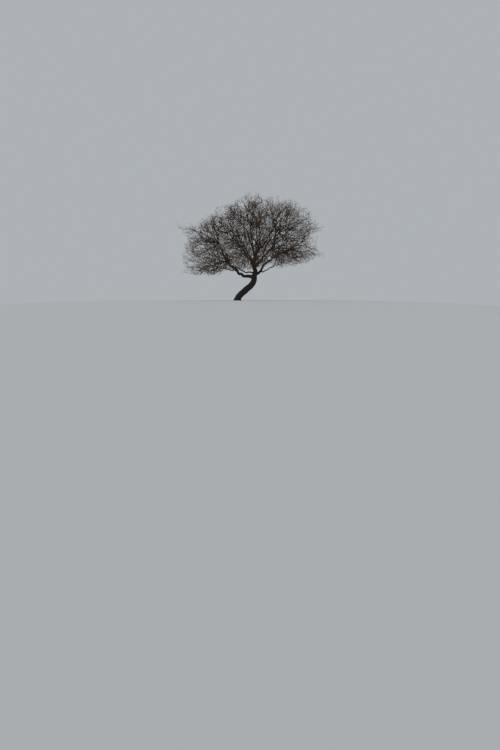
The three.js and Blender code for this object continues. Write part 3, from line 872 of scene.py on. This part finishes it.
def tubes(points, radii, starts, sides):
    first, last = starts[:-1], starts[1:] - 1
    size = np.diff(starts)
    step = unit(points[1:] - points[:-1])
    along = np.empty_like(points)
    along[:-1] = step
    inner = np.ones(len(points), bool)
    inner[first] = inner[last] = False
    inner = np.flatnonzero(inner)
    along[inner] = unit(step[inner - 1] + step[inner])
    along[last] = step[last - 1]
    side = np.zeros_like(points)
    pick = np.eye(3)[np.abs(along[first]).argmin(1)]
    side[first] = unit(pick - along[first] * (pick * along[first]).sum(1)[:, None])
    for k in range(1, size.max()):
        rows = first[size > k] + k
        before = side[rows - 1]
        side[rows] = unit(before - along[rows] * (before * along[rows]).sum(1)[:, None])
    other = np.cross(along, side)

    isRing = np.ones(len(points), bool)
    isRing[last] = False
    ringRows = np.flatnonzero(isRing)
    ringOf = np.cumsum(isRing) - 1
    turn = 2 * math.pi * np.arange(sides) / sides
    out = side[ringRows, None] * np.cos(turn)[:, None] + other[ringRows, None] * np.sin(turn)[:, None]
    ringPoints = points[ringRows, None] + radii[ringRows, None, None] * out
    verts = np.vstack([ringPoints.reshape(-1, 3), points[last]])
    s = np.arange(sides)
    after = (s + 1) % sides
    low = ringRows[isRing[np.minimum(ringRows + 1, len(points) - 1)]]
    a, b = ringOf[low][:, None] * sides, ringOf[low + 1][:, None] * sides
    quads = np.stack([a + s, a + after, b + after, b + s], -1).reshape(-1, 4)
    a = ringOf[last - 1][:, None] * sides
    apex = len(ringRows) * sides + np.arange(len(last))[:, None] + 0 * s
    tips = np.stack([a + s, a + after, apex], -1).reshape(-1, 3)
    caps = ringOf[first][:, None] * sides + s[::-1]
    source = np.concatenate([np.repeat(ringRows, sides), last])
    return verts, [quads, tips, caps], source


def addObject(name, data):
    made = bpy.data.objects.new(name, data)
    bpy.context.collection.objects.link(made)
    return made


def addAttribute(mesh, title, values, kind="FLOAT", field="value"):
    mesh.attributes.new(title, kind, "POINT").data.foreach_set(field, values)


def addMesh(name, parts, material, attributes):
    mesh = bpy.data.meshes.new(name)
    verts, faces = [], []
    base = 0
    for points, polygons, _ in parts:
        verts.append(points)
        faces += [f + base for f in polygons]
        base += len(points)
    corners = np.concatenate([f.ravel() for f in faces])
    sizes = np.concatenate([np.full(len(f), f.shape[1]) for f in faces])
    mesh.vertices.add(base)
    mesh.vertices.foreach_set("co", np.vstack(verts).astype(np.float32).ravel())
    mesh.loops.add(len(corners))
    mesh.loops.foreach_set("vertex_index", corners.astype(np.int32))
    mesh.polygons.add(len(sizes))
    mesh.polygons.foreach_set("loop_start", np.concatenate([[0], np.cumsum(sizes)[:-1]]).astype(np.int32))
    mesh.update(calc_edges=True)
    mesh.shade_smooth()
    for title, values in attributes.items():
        addAttribute(mesh, title, values.astype(np.float32))
    mesh.materials.append(material)
    report(f"{name}: {(sizes - 2).sum()} triangles")
    return addObject(name, mesh)


# Pieces: stems, twigs and shoots apart, for each side of the crown

sidesOfCrown = {
    "left": ["left", "left_low", "left_front", "left_front_high", "left_back_high", "back_left_low"],
    "right": ["right", "right_low", "right_front", "right_high", "right_back_high"],
    "front": ["front", "front_left", "front_right", "front_high", "right_front_high"],
    "back": ["back", "back_left", "back_right", "back_high"],
    "middle": ["middle_left", "leader", "middle_right"],
}
tubeLook = {
    "stemFrom": 0.0045,  # lines at least this thick at the foot are stems
    "stoutFrom": 0.009,
    "stoutSides": 8,
    "stemSides": 6,
    "twigSides": 3,
    "collar": (1.25, 0.9),  # how much wider a line's foot is than the line, and the most of its twig
    "age": (0.0015, 12),  # the radius where a twig counts as new, and how many times that is old
}
massRoots = {np.flatnonzero((mass == m) & (parent < 0))[0] for m in range(len(masses))}


def age(radii):
    new, old = tubeLook["age"]
    return np.clip(np.log(np.maximum(radii, 1e-4) / new) / math.log(old), 0, 1)


# A point more between every two, on the smooth line through them
def halved(points, radii):
    ends = extended(points)
    made, widths = np.empty((2 * len(points) - 1, 3)), np.empty(2 * len(points) - 1)
    made[::2], made[1::2] = points, (9 * (ends[1:-2] + ends[2:-1]) - ends[:-3] - ends[3:]) / 16
    widths[::2], widths[1::2] = radii, 0.5 * (radii[1:] + radii[:-1])
    return made, widths


def linesPart(chosen, sides, isHalved):
    made, widths = [], []
    for i in chosen:
        points, radii = allPoints[lines[i]], allRadii[lines[i]]
        if lines[i][0] not in massRoots:
            wider, most = tubeLook["collar"]
            radii[0] = min(radii[1] * wider, radii[0] * most)
        if isHalved:
            points, radii = halved(points, radii)
        made.append(points)
        widths.append(radii)
    starts = np.concatenate([[0], np.cumsum([len(r) for r in widths])])
    radii = np.concatenate(widths)
    part = tubes(np.vstack(made), radii, starts, sides)
    return part, age(radii)[part[2]], np.repeat(lineTone[chosen], np.diff(starts))[part[2]]


def shootsPart(batch, names):
    chosen = batch["keep"] & np.isin(batch["mass"], names)
    points, radii = batch["lines"][chosen], batch["radii"][chosen]
    n, m = radii.shape
    made = tubes(points.reshape(-1, 3), radii.ravel(), np.arange(n + 1) * m, tubeLook["twigSides"])
    return made, age(radii.ravel())[made[2]], np.repeat(sprayTone(points[:, 0]), m)[made[2]]


def finish(piece, nodes):
    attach(piece, "root")
    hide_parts(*nodes)


def crownPiece(name, nodes, parts, material):
    meshes, ages, tones = zip(*parts)
    piece = addMesh(name, meshes, material, {"age": np.concatenate(ages), "tone": np.concatenate(tones)})
    finish(piece, nodes)


twigMaterial = bpy.data.materials.new("twigs")
shootMaterial = bpy.data.materials.new("shoots")
for side, names in sidesOfCrown.items():
    own = [i for i, m in enumerate(masses) if m["name"] in names]
    nodes = ["twigs_" + name for name in names]
    here = np.isin(lineMass, own)
    isStem = lineRadius >= tubeLook["stemFrom"]
    isStout = lineRadius >= tubeLook["stoutFrom"]
    stems = [linesPart(np.flatnonzero(here & isStout), tubeLook["stoutSides"], True),
             linesPart(np.flatnonzero(here & isStem & ~isStout), tubeLook["stemSides"], True)]
    twigs = linesPart(np.flatnonzero(here & ~isStem), tubeLook["twigSides"], False)
    crownPiece(f"stems_{side}_side", nodes, stems, twigMaterial)
    crownPiece(f"twigs_{side}_side", nodes, [twigs], twigMaterial)
    crownPiece(f"shoots_{side}_side", nodes, [shootsPart(b, own) for b in (*beside, spurs)], shootMaterial)


# Trunk and boughs: curves made into one skin with the limbs' forks grown together

wood = {
    "below": 0.08,  # how far the trunk goes on under the cut before it is cut off
    "joinAt": 0.3,  # distance from the trunk where the boughs' own skin takes over
    "overlap": 0.06,
    "under": (0.3, 0.1),  # how much thinner the trunk's skin ends, and the boughs' begins, inside the other
    "collar": 0.42,  # how much wider a bough is where it leaves its parent
    "collarLength": 0.11,
    "trunkVoxel": 0.0065,
    "boughVoxel": 0.0095,
    "shoulders": 5,
    "shoulderTurn": 0.8,
    "shoulderOut": (0.055, 0.168),  # from the trunk's middle to a shoulder's, at its top and its foot
    "shoulderTop": (0.32, 0.48),
    "shoulderRadius": (0.05, 0.062),
    "stouter": {"left_foot": (1.28, 1.26), "left": (1.26, 1.04)},  # thicker limbs, at foot and tip
    "skin": 1.03,  # how much thicker the others are, for what smoothing takes away
    "near": 0.2,  # how far from a limb's line its bark reaches
    "apart": 3.7,  # between one limb's pattern and the next one's
    "fade": (0.12, 0.6),  # how much nearer one limb is than the next where bark begins, and on to full
    "forkRelief": (0.25, 1),  # share of the relief in forks, and elsewhere
    "relief": 0.05,  # of the limb's radius
    "reliefMost": 0.0075,
    "lumps": (0.08, 0.12, 7),  # of the limb's radius, the most radius that counts, and number
    "plate": 0.026,  # width of a plate of bark
    "stretch": 3.4,  # how much longer than wide the plates are
    "bend": (0.7, 0.45),  # how far the furrows wander, and how often
    "furrow": (4.2, 0.62),  # how steep a furrow's sides are, and where its lip is level with the skin
    "grain": (0.3, 2.6),  # size and number of the fine relief on the plates
}


def selectOnly(piece):
    bpy.ops.object.select_all(action="DESELECT")
    bpy.context.view_layer.objects.active = piece
    piece.select_set(True)


def applyModifier(piece, kind, **settings):
    modifier = piece.modifiers.new(kind.lower(), kind)
    for title, value in settings.items():
        setattr(modifier, title, value)
    bpy.ops.object.modifier_apply(modifier=modifier.name)


def skinOf(name, lines, voxel):
    curve = bpy.data.curves.new(name, "CURVE")
    curve.dimensions = "3D"
    curve.bevel_depth = 1
    curve.bevel_resolution = 5
    curve.use_fill_caps = True
    for points, radii in lines:
        spline = curve.splines.new("POLY")
        spline.points.add(len(points) - 1)
        spline.points.foreach_set("co", np.hstack([points, np.ones((len(points), 1))]).ravel())
        spline.points.foreach_set("radius", radii)
    selectOnly(addObject(name, curve))
    bpy.ops.object.convert(target="MESH")
    piece = bpy.context.view_layer.objects.active
    applyModifier(piece, "REMESH", mode="VOXEL", voxel_size=voxel, adaptivity=0)
    applyModifier(piece, "SMOOTH", factor=0.5, iterations=5)
    return piece


def limbRadii(name):
    made, limb = drawn[name], limbs[name]
    widening = wood["stouter"].get(name, (wood["skin"], wood["skin"]))
    radii = made["radii"] * np.linspace(*widening, len(made["radii"]))
    if name != "trunk" and not limb["carriesOn"]:
        beyond = made["far"] - 0.5 * drawn[limb["parent"]]["radii"][made["foot"]]
        radii *= 1 + wood["collar"] * np.exp(-(np.maximum(beyond, 0) / wood["collarLength"]) ** 1.5)
    return radii


# The trunk's line, on below the cut, and a low shoulder to each side of its foot
def trunkLines():
    made = drawn["trunk"]
    line = np.vstack([made["line"][0] - [0, 0, wood["below"]], made["line"]])
    found = [(line, np.concatenate([[made["radii"][0] * 1.02], made["radii"]]))]
    for k in range(wood["shoulders"]):
        turn = (2 * math.pi * k - wood["shoulderTurn"]) / wood["shoulders"]
        out = np.array([math.cos(turn), math.sin(turn), 0])
        top = between(wood["shoulderTop"], (k * 0.618) % 1)
        points, widths = [], []
        for s in np.linspace(0, 1, 9):
            z = top * (1 - s) - wood["below"] * s
            near = np.abs(made["line"][:, 2] - max(z, 0)).argmin()
            reach = between(wood["shoulderOut"], s**1.7)
            points.append(made["line"][near] * [1, 1, 0] + out * reach + [0, 0, z])
            widths.append(between(wood["shoulderRadius"], s))
        found.append((np.array(points), np.array(widths)))
    return found


joinStart, joinEnd = wood["joinAt"] - wood["overlap"] / 2, wood["joinAt"] + wood["overlap"]
lowLines, highLines = trunkLines(), []
for name, made in drawn.items():
    if name == "trunk":
        continue
    line, radii, away = made["line"], limbRadii(name), made["start"] + made["far"]
    begins = away[0]
    if limbs[name]["carriesOn"]:  # a limb that carries its parent on starts a little inside it
        parentName = limbs[name]["parent"]
        before = drawn[parentName]
        line = np.vstack([before["line"][-4:-1], line])
        radii = np.concatenate([limbRadii(parentName)[-4:-1], radii])
        away = np.concatenate([away[0] - before["far"][-1] + before["far"][-4:-1], away])
    if begins < joinEnd:
        part = away <= joinEnd + limbStep
        shrink = 1 - wood["under"][0] * np.clip((away - wood["joinAt"]) / wood["overlap"], 0, 1)
        lowLines.append((line[part], (radii * shrink)[part]))
    part = away >= joinStart
    if begins < joinStart:
        thinner = np.clip((wood["joinAt"] - away) / (wood["joinAt"] - joinStart), 0, 1)
        radii = radii * (1 - wood["under"][1] * thinner)
    highLines.append((line[part], radii[part]))
trunkPiece = skinOf("trunk_bark", lowLines, wood["trunkVoxel"])
boughPiece = skinOf("boughs_bark", highLines, wood["boughVoxel"])
report(f"skins of {len(trunkPiece.data.polygons)} and {len(boughPiece.data.polygons)} faces")

limbTrees = {name: searchTree(made["line"]) for name, made in drawn.items()}


# Each vertex gets its place on its own limb: two coordinates across the limb and one along it. Where two
# limbs are about as near, in a fork, the bark fades.
def barkPlaces(points):
    nearest, second = np.full(len(points), 1e9), np.full(len(points), 1e9)
    local = np.zeros((len(points), 3))
    thick = np.ones(len(points))
    for order, (name, made) in enumerate(drawn.items()):
        low, high = made["line"].min(0) - wood["near"], made["line"].max(0) + wood["near"]
        for v in np.flatnonzero(((points > low) & (points < high)).all(1)):
            p = points[v]
            _, i, far = limbTrees[name].find(p)
            share = far / made["radii"][i]
            if share < nearest[v]:
                second[v], nearest[v] = nearest[v], share
                d = p - made["line"][i]
                side, along = made["side"][i], made["along"][i]
                run = made["far"][i] + d @ along + order * wood["apart"]
                local[v] = (d @ side, d @ np.cross(along, side), run)
                thick[v] = made["radii"][i]
            elif share < second[v]:
                second[v] = share
    least, over = wood["fade"]
    return local, thick, np.clip((second - nearest - least) / over, 0, 1)


def vertexValues(mesh, title):
    values = np.empty(3 * len(mesh.vertices))
    mesh.vertices.foreach_get(title, values)
    return values.reshape(-1, 3)


def carveBark(piece):
    mesh = piece.data
    points, normals = vertexValues(mesh, "co"), vertexValues(mesh, "normal")
    local, thick, fade = barkPlaces(points)
    depth = np.minimum(wood["relief"] * thick, wood["reliefMost"])
    lift = np.empty(len(points))
    (far, often), (steep, lip), (grain, grainOften) = wood["bend"], wood["furrow"], wood["grain"]
    for v, q in enumerate(local * np.array([1, 1, 1 / wood["stretch"]]) / wood["plate"]):
        q = Vector(q)
        furrow = min(1, abs(noise.noise(q + far * noiseVector(q * often))) * steep)
        lift[v] = furrow - lip + grain * noise.noise(q * grainOften)
    share, most, number = wood["lumps"]
    lumps = noiseAt(points, number) * share * np.minimum(thick, most)
    push = lift * depth * between(wood["forkRelief"], fade) + lumps
    mesh.vertices.foreach_set("co", (points + normals * push[:, None]).ravel())
    addAttribute(mesh, "barkPlace", local.ravel(), "FLOAT_VECTOR", "vector")
    addAttribute(mesh, "barkFade", fade)
    # The carved relief's depth goes to the material, which darkens the colour in the deep furrows: partly
    # the bark's own darker furrows, partly painted shade.
    addAttribute(mesh, "barkFurrowShade", np.clip(lift + 0.6, 0, 1))
    mesh.update()
    mesh.shade_smooth()


carveBark(trunkPiece)
carveBark(boughPiece)
selectOnly(trunkPiece)
bpy.ops.object.mode_set(mode="EDIT")
bpy.ops.mesh.select_all(action="SELECT")
bpy.ops.mesh.bisect(plane_co=(0, 0, 0), plane_no=(0, 0, 1), use_fill=True, clear_inner=True)
bpy.ops.object.mode_set(mode="OBJECT")
for vertex in trunkPiece.data.vertices:
    vertex.co.z = max(vertex.co.z, 0)
report(f"bark: {len(trunkPiece.data.vertices)} and {len(boughPiece.data.vertices)} vertices")


# Materials

# A node with its settings, and for each input a value or another node's output
def addNode(tree, kind, inputs, **settings):
    node = tree.nodes.new("ShaderNode" + kind)
    for title, value in settings.items():
        setattr(node, title, value)
    for title, value in inputs.items():
        if isinstance(value, bpy.types.NodeSocket):
            tree.links.new(value, node.inputs[title])
        else:
            node.inputs[title].default_value = value
    return node


def noiseNode(tree, vector, scale, detail, roughness, distortion=0.0):
    return addNode(tree, "TexNoise", {"Vector": vector, "Scale": scale, "Detail": detail,
                                      "Roughness": roughness, "Distortion": distortion}).outputs["Fac"]


def mathNode(tree, operation, a, b=0.0, clamp=False):
    return addNode(tree, "Math", {0: a, 1: b}, operation=operation, use_clamp=clamp).outputs[0]


def vectorNode(tree, operation, vector, title, by):
    return addNode(tree, "VectorMath", {0: vector, title: by}, operation=operation).outputs[0]


def ramp(tree, value, low, high, lowTo=0.0, highTo=1.0):
    return addNode(tree, "MapRange", {"Value": value, "From Min": low, "From Max": high, "To Min": lowTo,
                                      "To Max": highTo}, interpolation_type="SMOOTHSTEP").outputs["Result"]


def mixColours(tree, factor, a, b):
    return addNode(tree, "Mix", {0: factor, 6: a, 7: b}, data_type="RGBA").outputs[2]


# A group that puts out the same three things for every bark
def barkLikeGroup(name, inputs):
    made = bpy.data.node_groups.new(name, "ShaderNodeTree")
    for title, kind in inputs.items():
        made.interface.new_socket(title, in_out="INPUT", socket_type="NodeSocket" + kind)
    for title, kind in (("Colour", "Color"), ("Roughness", "Float"), ("Height", "Float")):
        made.interface.new_socket(title, in_out="OUTPUT", socket_type="NodeSocket" + kind)
    return made, made.nodes.new("NodeGroupInput").outputs, made.nodes.new("NodeGroupOutput").inputs


barkLook = {
    "plate": (0.056, 0.0495, 0.042, 1),
    # The furrow colour, used in the cracks and the carved furrows, is partly the bark's own darker colour
    # there and partly painted shade.
    "furrow": (0.018, 0.0155, 0.013, 1),
    "moss": (0.05, 0.055, 0.034, 1),
    "fineScale": 46.0,
    "fineStretch": 0.3,
    "crackWidth": 0.09,
    "grainScale": 210.0,
    "blotchScale": 5.5,
    "bump": 0.55,
    "bumpDepth": 0.004,
    "specular": 0.12,
}
twigLook = {
    "stem": (0.031, 0.0272, 0.0238, 1),
    "twig": (0.11, 0.068, 0.039, 1),
    "shoot": (0.27, 0.153, 0.069, 1),
    "greyTint": (0.9, 0.94, 1.08, 1),
    "brownTint": (1.16, 1.0, 0.82, 1),
    "grainScale": 160.0,
    "patchScale": 34.0,
    "bump": 0.25,
    "bumpDepth": 0.0006,
    "specular": 0.05,
}


def barkGroup():
    tree, given, out = barkLikeGroup("furrowedBark", {
        "Place": "Vector", "Fade": "Float", "Furrow": "Float", "Object": "Vector", "Scale": "Float",
        "Plate Colour": "Color", "Furrow And Shade Colour": "Color", "Moss Colour": "Color"})
    stretch = (1, 1, barkLook["fineStretch"])
    place = addNode(tree, "Mapping", {"Vector": given["Place"], "Scale": stretch}).outputs["Vector"]
    fine = noiseNode(tree, vectorNode(tree, "SCALE", place, "Scale", given["Scale"]), 1.0, 4, 0.6, 0.4)
    fromMiddle = mathNode(tree, "ABSOLUTE", mathNode(tree, "SUBTRACT", fine, 0.5))
    cracks = mathNode(tree, "MULTIPLY", ramp(tree, fromMiddle, 0.0, barkLook["crackWidth"]), given["Fade"])
    cracks = mathNode(tree, "ADD", cracks, mathNode(tree, "SUBTRACT", 1.0, given["Fade"]), True)
    grain = noiseNode(tree, given["Object"], barkLook["grainScale"], 3, 0.6)
    blotch = noiseNode(tree, given["Object"], barkLook["blotchScale"], 3, 0.6)
    height = mathNode(tree, "MULTIPLY", grain, 0.3)
    height = mathNode(tree, "ADD", mathNode(tree, "MULTIPLY", cracks, 0.7), height)
    shade = mathNode(tree, "ADD", mathNode(tree, "MULTIPLY", cracks, 0.55), 0.45)
    # Darker in the deep carved furrows: partly the bark's own colour, partly painted shade.
    shade = mathNode(tree, "MULTIPLY", shade, ramp(tree, given["Furrow"], 0.05, 0.65, 0.35, 1.0), True)
    shade = mathNode(tree, "MULTIPLY", shade, ramp(tree, grain, 0.3, 0.7, 0.78, 1.0), True)
    moss = mathNode(tree, "MULTIPLY", shade, 0.6)
    moss = mathNode(tree, "MULTIPLY", ramp(tree, blotch, 0.56, 0.7), moss, True)
    colour = mixColours(tree, shade, given["Furrow And Shade Colour"], given["Plate Colour"])
    tree.links.new(mixColours(tree, moss, colour, given["Moss Colour"]), out["Colour"])
    tree.links.new(ramp(tree, shade, 0, 1, 0.98, 0.84), out["Roughness"])
    tree.links.new(height, out["Height"])
    return tree


def twigGroup():
    tree, given, out = barkLikeGroup("twigBark", {
        "Age": "Float", "Tone": "Float", "Object": "Vector", "Stem Colour": "Color", "Twig Colour": "Color",
        "Shoot Colour": "Color", "Grey Tint": "Color", "Brown Tint": "Color"})
    young = mixColours(tree, ramp(tree, given["Age"], 0.0, 0.3), given["Shoot Colour"], given["Twig Colour"])
    colour = mixColours(tree, ramp(tree, given["Age"], 0.35, 0.95), young, given["Stem Colour"])
    tint = mixColours(tree, given["Tone"], given["Grey Tint"], given["Brown Tint"])
    grain = noiseNode(tree, given["Object"], twigLook["grainScale"], 3, 0.6)
    patches = noiseNode(tree, given["Object"], twigLook["patchScale"], 4, 0.65, 0.6)
    patches = ramp(tree, patches, 0.4, 0.6, 0.5, 1.25)
    old = ramp(tree, given["Age"], 0.6, 1.0)
    patches = mathNode(tree, "MULTIPLY", patches, old)
    patches = mathNode(tree, "ADD", patches, mathNode(tree, "SUBTRACT", 1.0, old))
    shade = mathNode(tree, "MULTIPLY", ramp(tree, grain, 0.25, 0.75, 0.75, 1.15), patches)
    colour = vectorNode(tree, "SCALE", vectorNode(tree, "MULTIPLY", colour, 1, tint), "Scale", shade)
    tree.links.new(colour, out["Colour"])
    tree.links.new(ramp(tree, given["Age"], 0, 1, 0.62, 0.9), out["Roughness"])
    tree.links.new(grain, out["Height"])
    return tree


def shaderOf(material):
    material.use_nodes = True
    return next(n for n in material.node_tree.nodes if n.type == "BSDF_PRINCIPLED")


def useGroup(material, shared, attributes, values, look):
    shader = shaderOf(material)
    tree = material.node_tree
    inputs = {"Object": addNode(tree, "TexCoord", {}).outputs["Object"]} | values
    for title, (name, output) in attributes.items():
        inputs[title] = addNode(tree, "Attribute", {}, attribute_name=name).outputs[output]
    bark = addNode(tree, "Group", inputs, node_tree=shared).outputs
    relief = addNode(tree, "Bump", {"Strength": look["bump"], "Distance": look["bumpDepth"],
                                    "Height": bark["Height"]})
    tree.links.new(bark["Colour"], shader.inputs["Base Color"])
    tree.links.new(bark["Roughness"], shader.inputs["Roughness"])
    tree.links.new(relief.outputs["Normal"], shader.inputs["Normal"])
    shader.inputs["Specular IOR Level"].default_value = look["specular"]


barkMaterial = bpy.data.materials.new("bark")
useGroup(barkMaterial, barkGroup(),
         {"Place": ("barkPlace", "Vector"), "Fade": ("barkFade", "Fac"), "Furrow": ("barkFurrowShade", "Fac")},
         {"Scale": barkLook["fineScale"], "Plate Colour": barkLook["plate"],
          "Furrow And Shade Colour": barkLook["furrow"], "Moss Colour": barkLook["moss"]}, barkLook)
twigBark = twigGroup()
for material in (twigMaterial, shootMaterial):
    useGroup(material, twigBark, {"Age": ("age", "Fac"), "Tone": ("tone", "Fac")},
             {"Stem Colour": twigLook["stem"], "Twig Colour": twigLook["twig"],
              "Shoot Colour": twigLook["shoot"], "Grey Tint": twigLook["greyTint"],
              "Brown Tint": twigLook["brownTint"]}, twigLook)
trunkPiece.data.materials.append(barkMaterial)
boughPiece.data.materials.append(barkMaterial)
finish(trunkPiece, ["trunk"])
finish(boughPiece, ["bough_" + name for name in limbs if name != "trunk"])


# Floor, light and camera

studio = {
    # radius, level
    "rings": [(6, 0.0), (9, -0.1), (14, -0.32), (22, -0.67), (34, -1.19), (60, -2.33), (110, -4.5)],
    "floor": (0.72, 0.72, 0.71, 1),
    "daylight": (0.42, 0.444, 0.468, 1),
    "lamp": 0.6,
    "lampAngle": 60,
    "lampTurn": (48, -8, -38),
    "camera": (0, -48.3, 0.12),
    "cameraTurn": (90 - 4.232, 0, -0.69),
    "lens": 50,
    "farthest": 400,
}


# A level disc that falls away in rings
def makeFloor():
    bpy.ops.object.select_all(action="DESELECT")
    bpy.ops.mesh.primitive_circle_add(vertices=96, radius=studio["rings"][0][0], fill_type="NGON")
    floor = bpy.context.view_layer.objects.active
    floor.name = "floor"
    bpy.ops.object.mode_set(mode="EDIT")
    bpy.ops.mesh.select_all(action="SELECT")
    for (inner, low), (outer, lower) in zip(studio["rings"], studio["rings"][1:]):
        bpy.ops.mesh.select_mode(type="EDGE")
        bpy.ops.mesh.select_all(action="DESELECT")
        bpy.ops.mesh.select_non_manifold()
        bpy.ops.mesh.extrude_edges_move(TRANSFORM_OT_translate={"value": (0, 0, lower - low)})
        bpy.ops.transform.resize(value=(outer / inner, outer / inner, 1), center_override=(0, 0, 0))
    bpy.ops.object.mode_set(mode="OBJECT")
    floor.data.shade_smooth()
    material = bpy.data.materials.new("floor")
    shader = shaderOf(material)
    shader.inputs["Base Color"].default_value = studio["floor"]
    shader.inputs["Roughness"].default_value = 0.95
    floor.data.materials.append(material)
    floor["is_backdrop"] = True


makeFloor()
world = bpy.data.worlds.new("daylight")
world.use_nodes = True
world.node_tree.nodes["Background"].inputs["Color"].default_value = studio["daylight"]
bpy.context.scene.world = world
lamp = bpy.data.lights.new("soft sun", "SUN")
lamp.energy = studio["lamp"]
lamp.angle = math.radians(studio["lampAngle"])
addObject("soft sun", lamp).rotation_euler = [math.radians(turn) for turn in studio["lampTurn"]]
lens = bpy.data.cameras.new("camera")
lens.lens = studio["lens"]
lens.clip_end = studio["farthest"]
camera = addObject("camera", lens)
camera.location = studio["camera"]
camera.rotation_euler = [math.radians(turn) for turn in studio["cameraTurn"]]
bpy.context.scene.camera = camera
bpy.context.scene.view_settings.view_transform = "Standard"

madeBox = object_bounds()
report(f"box {madeBox}")
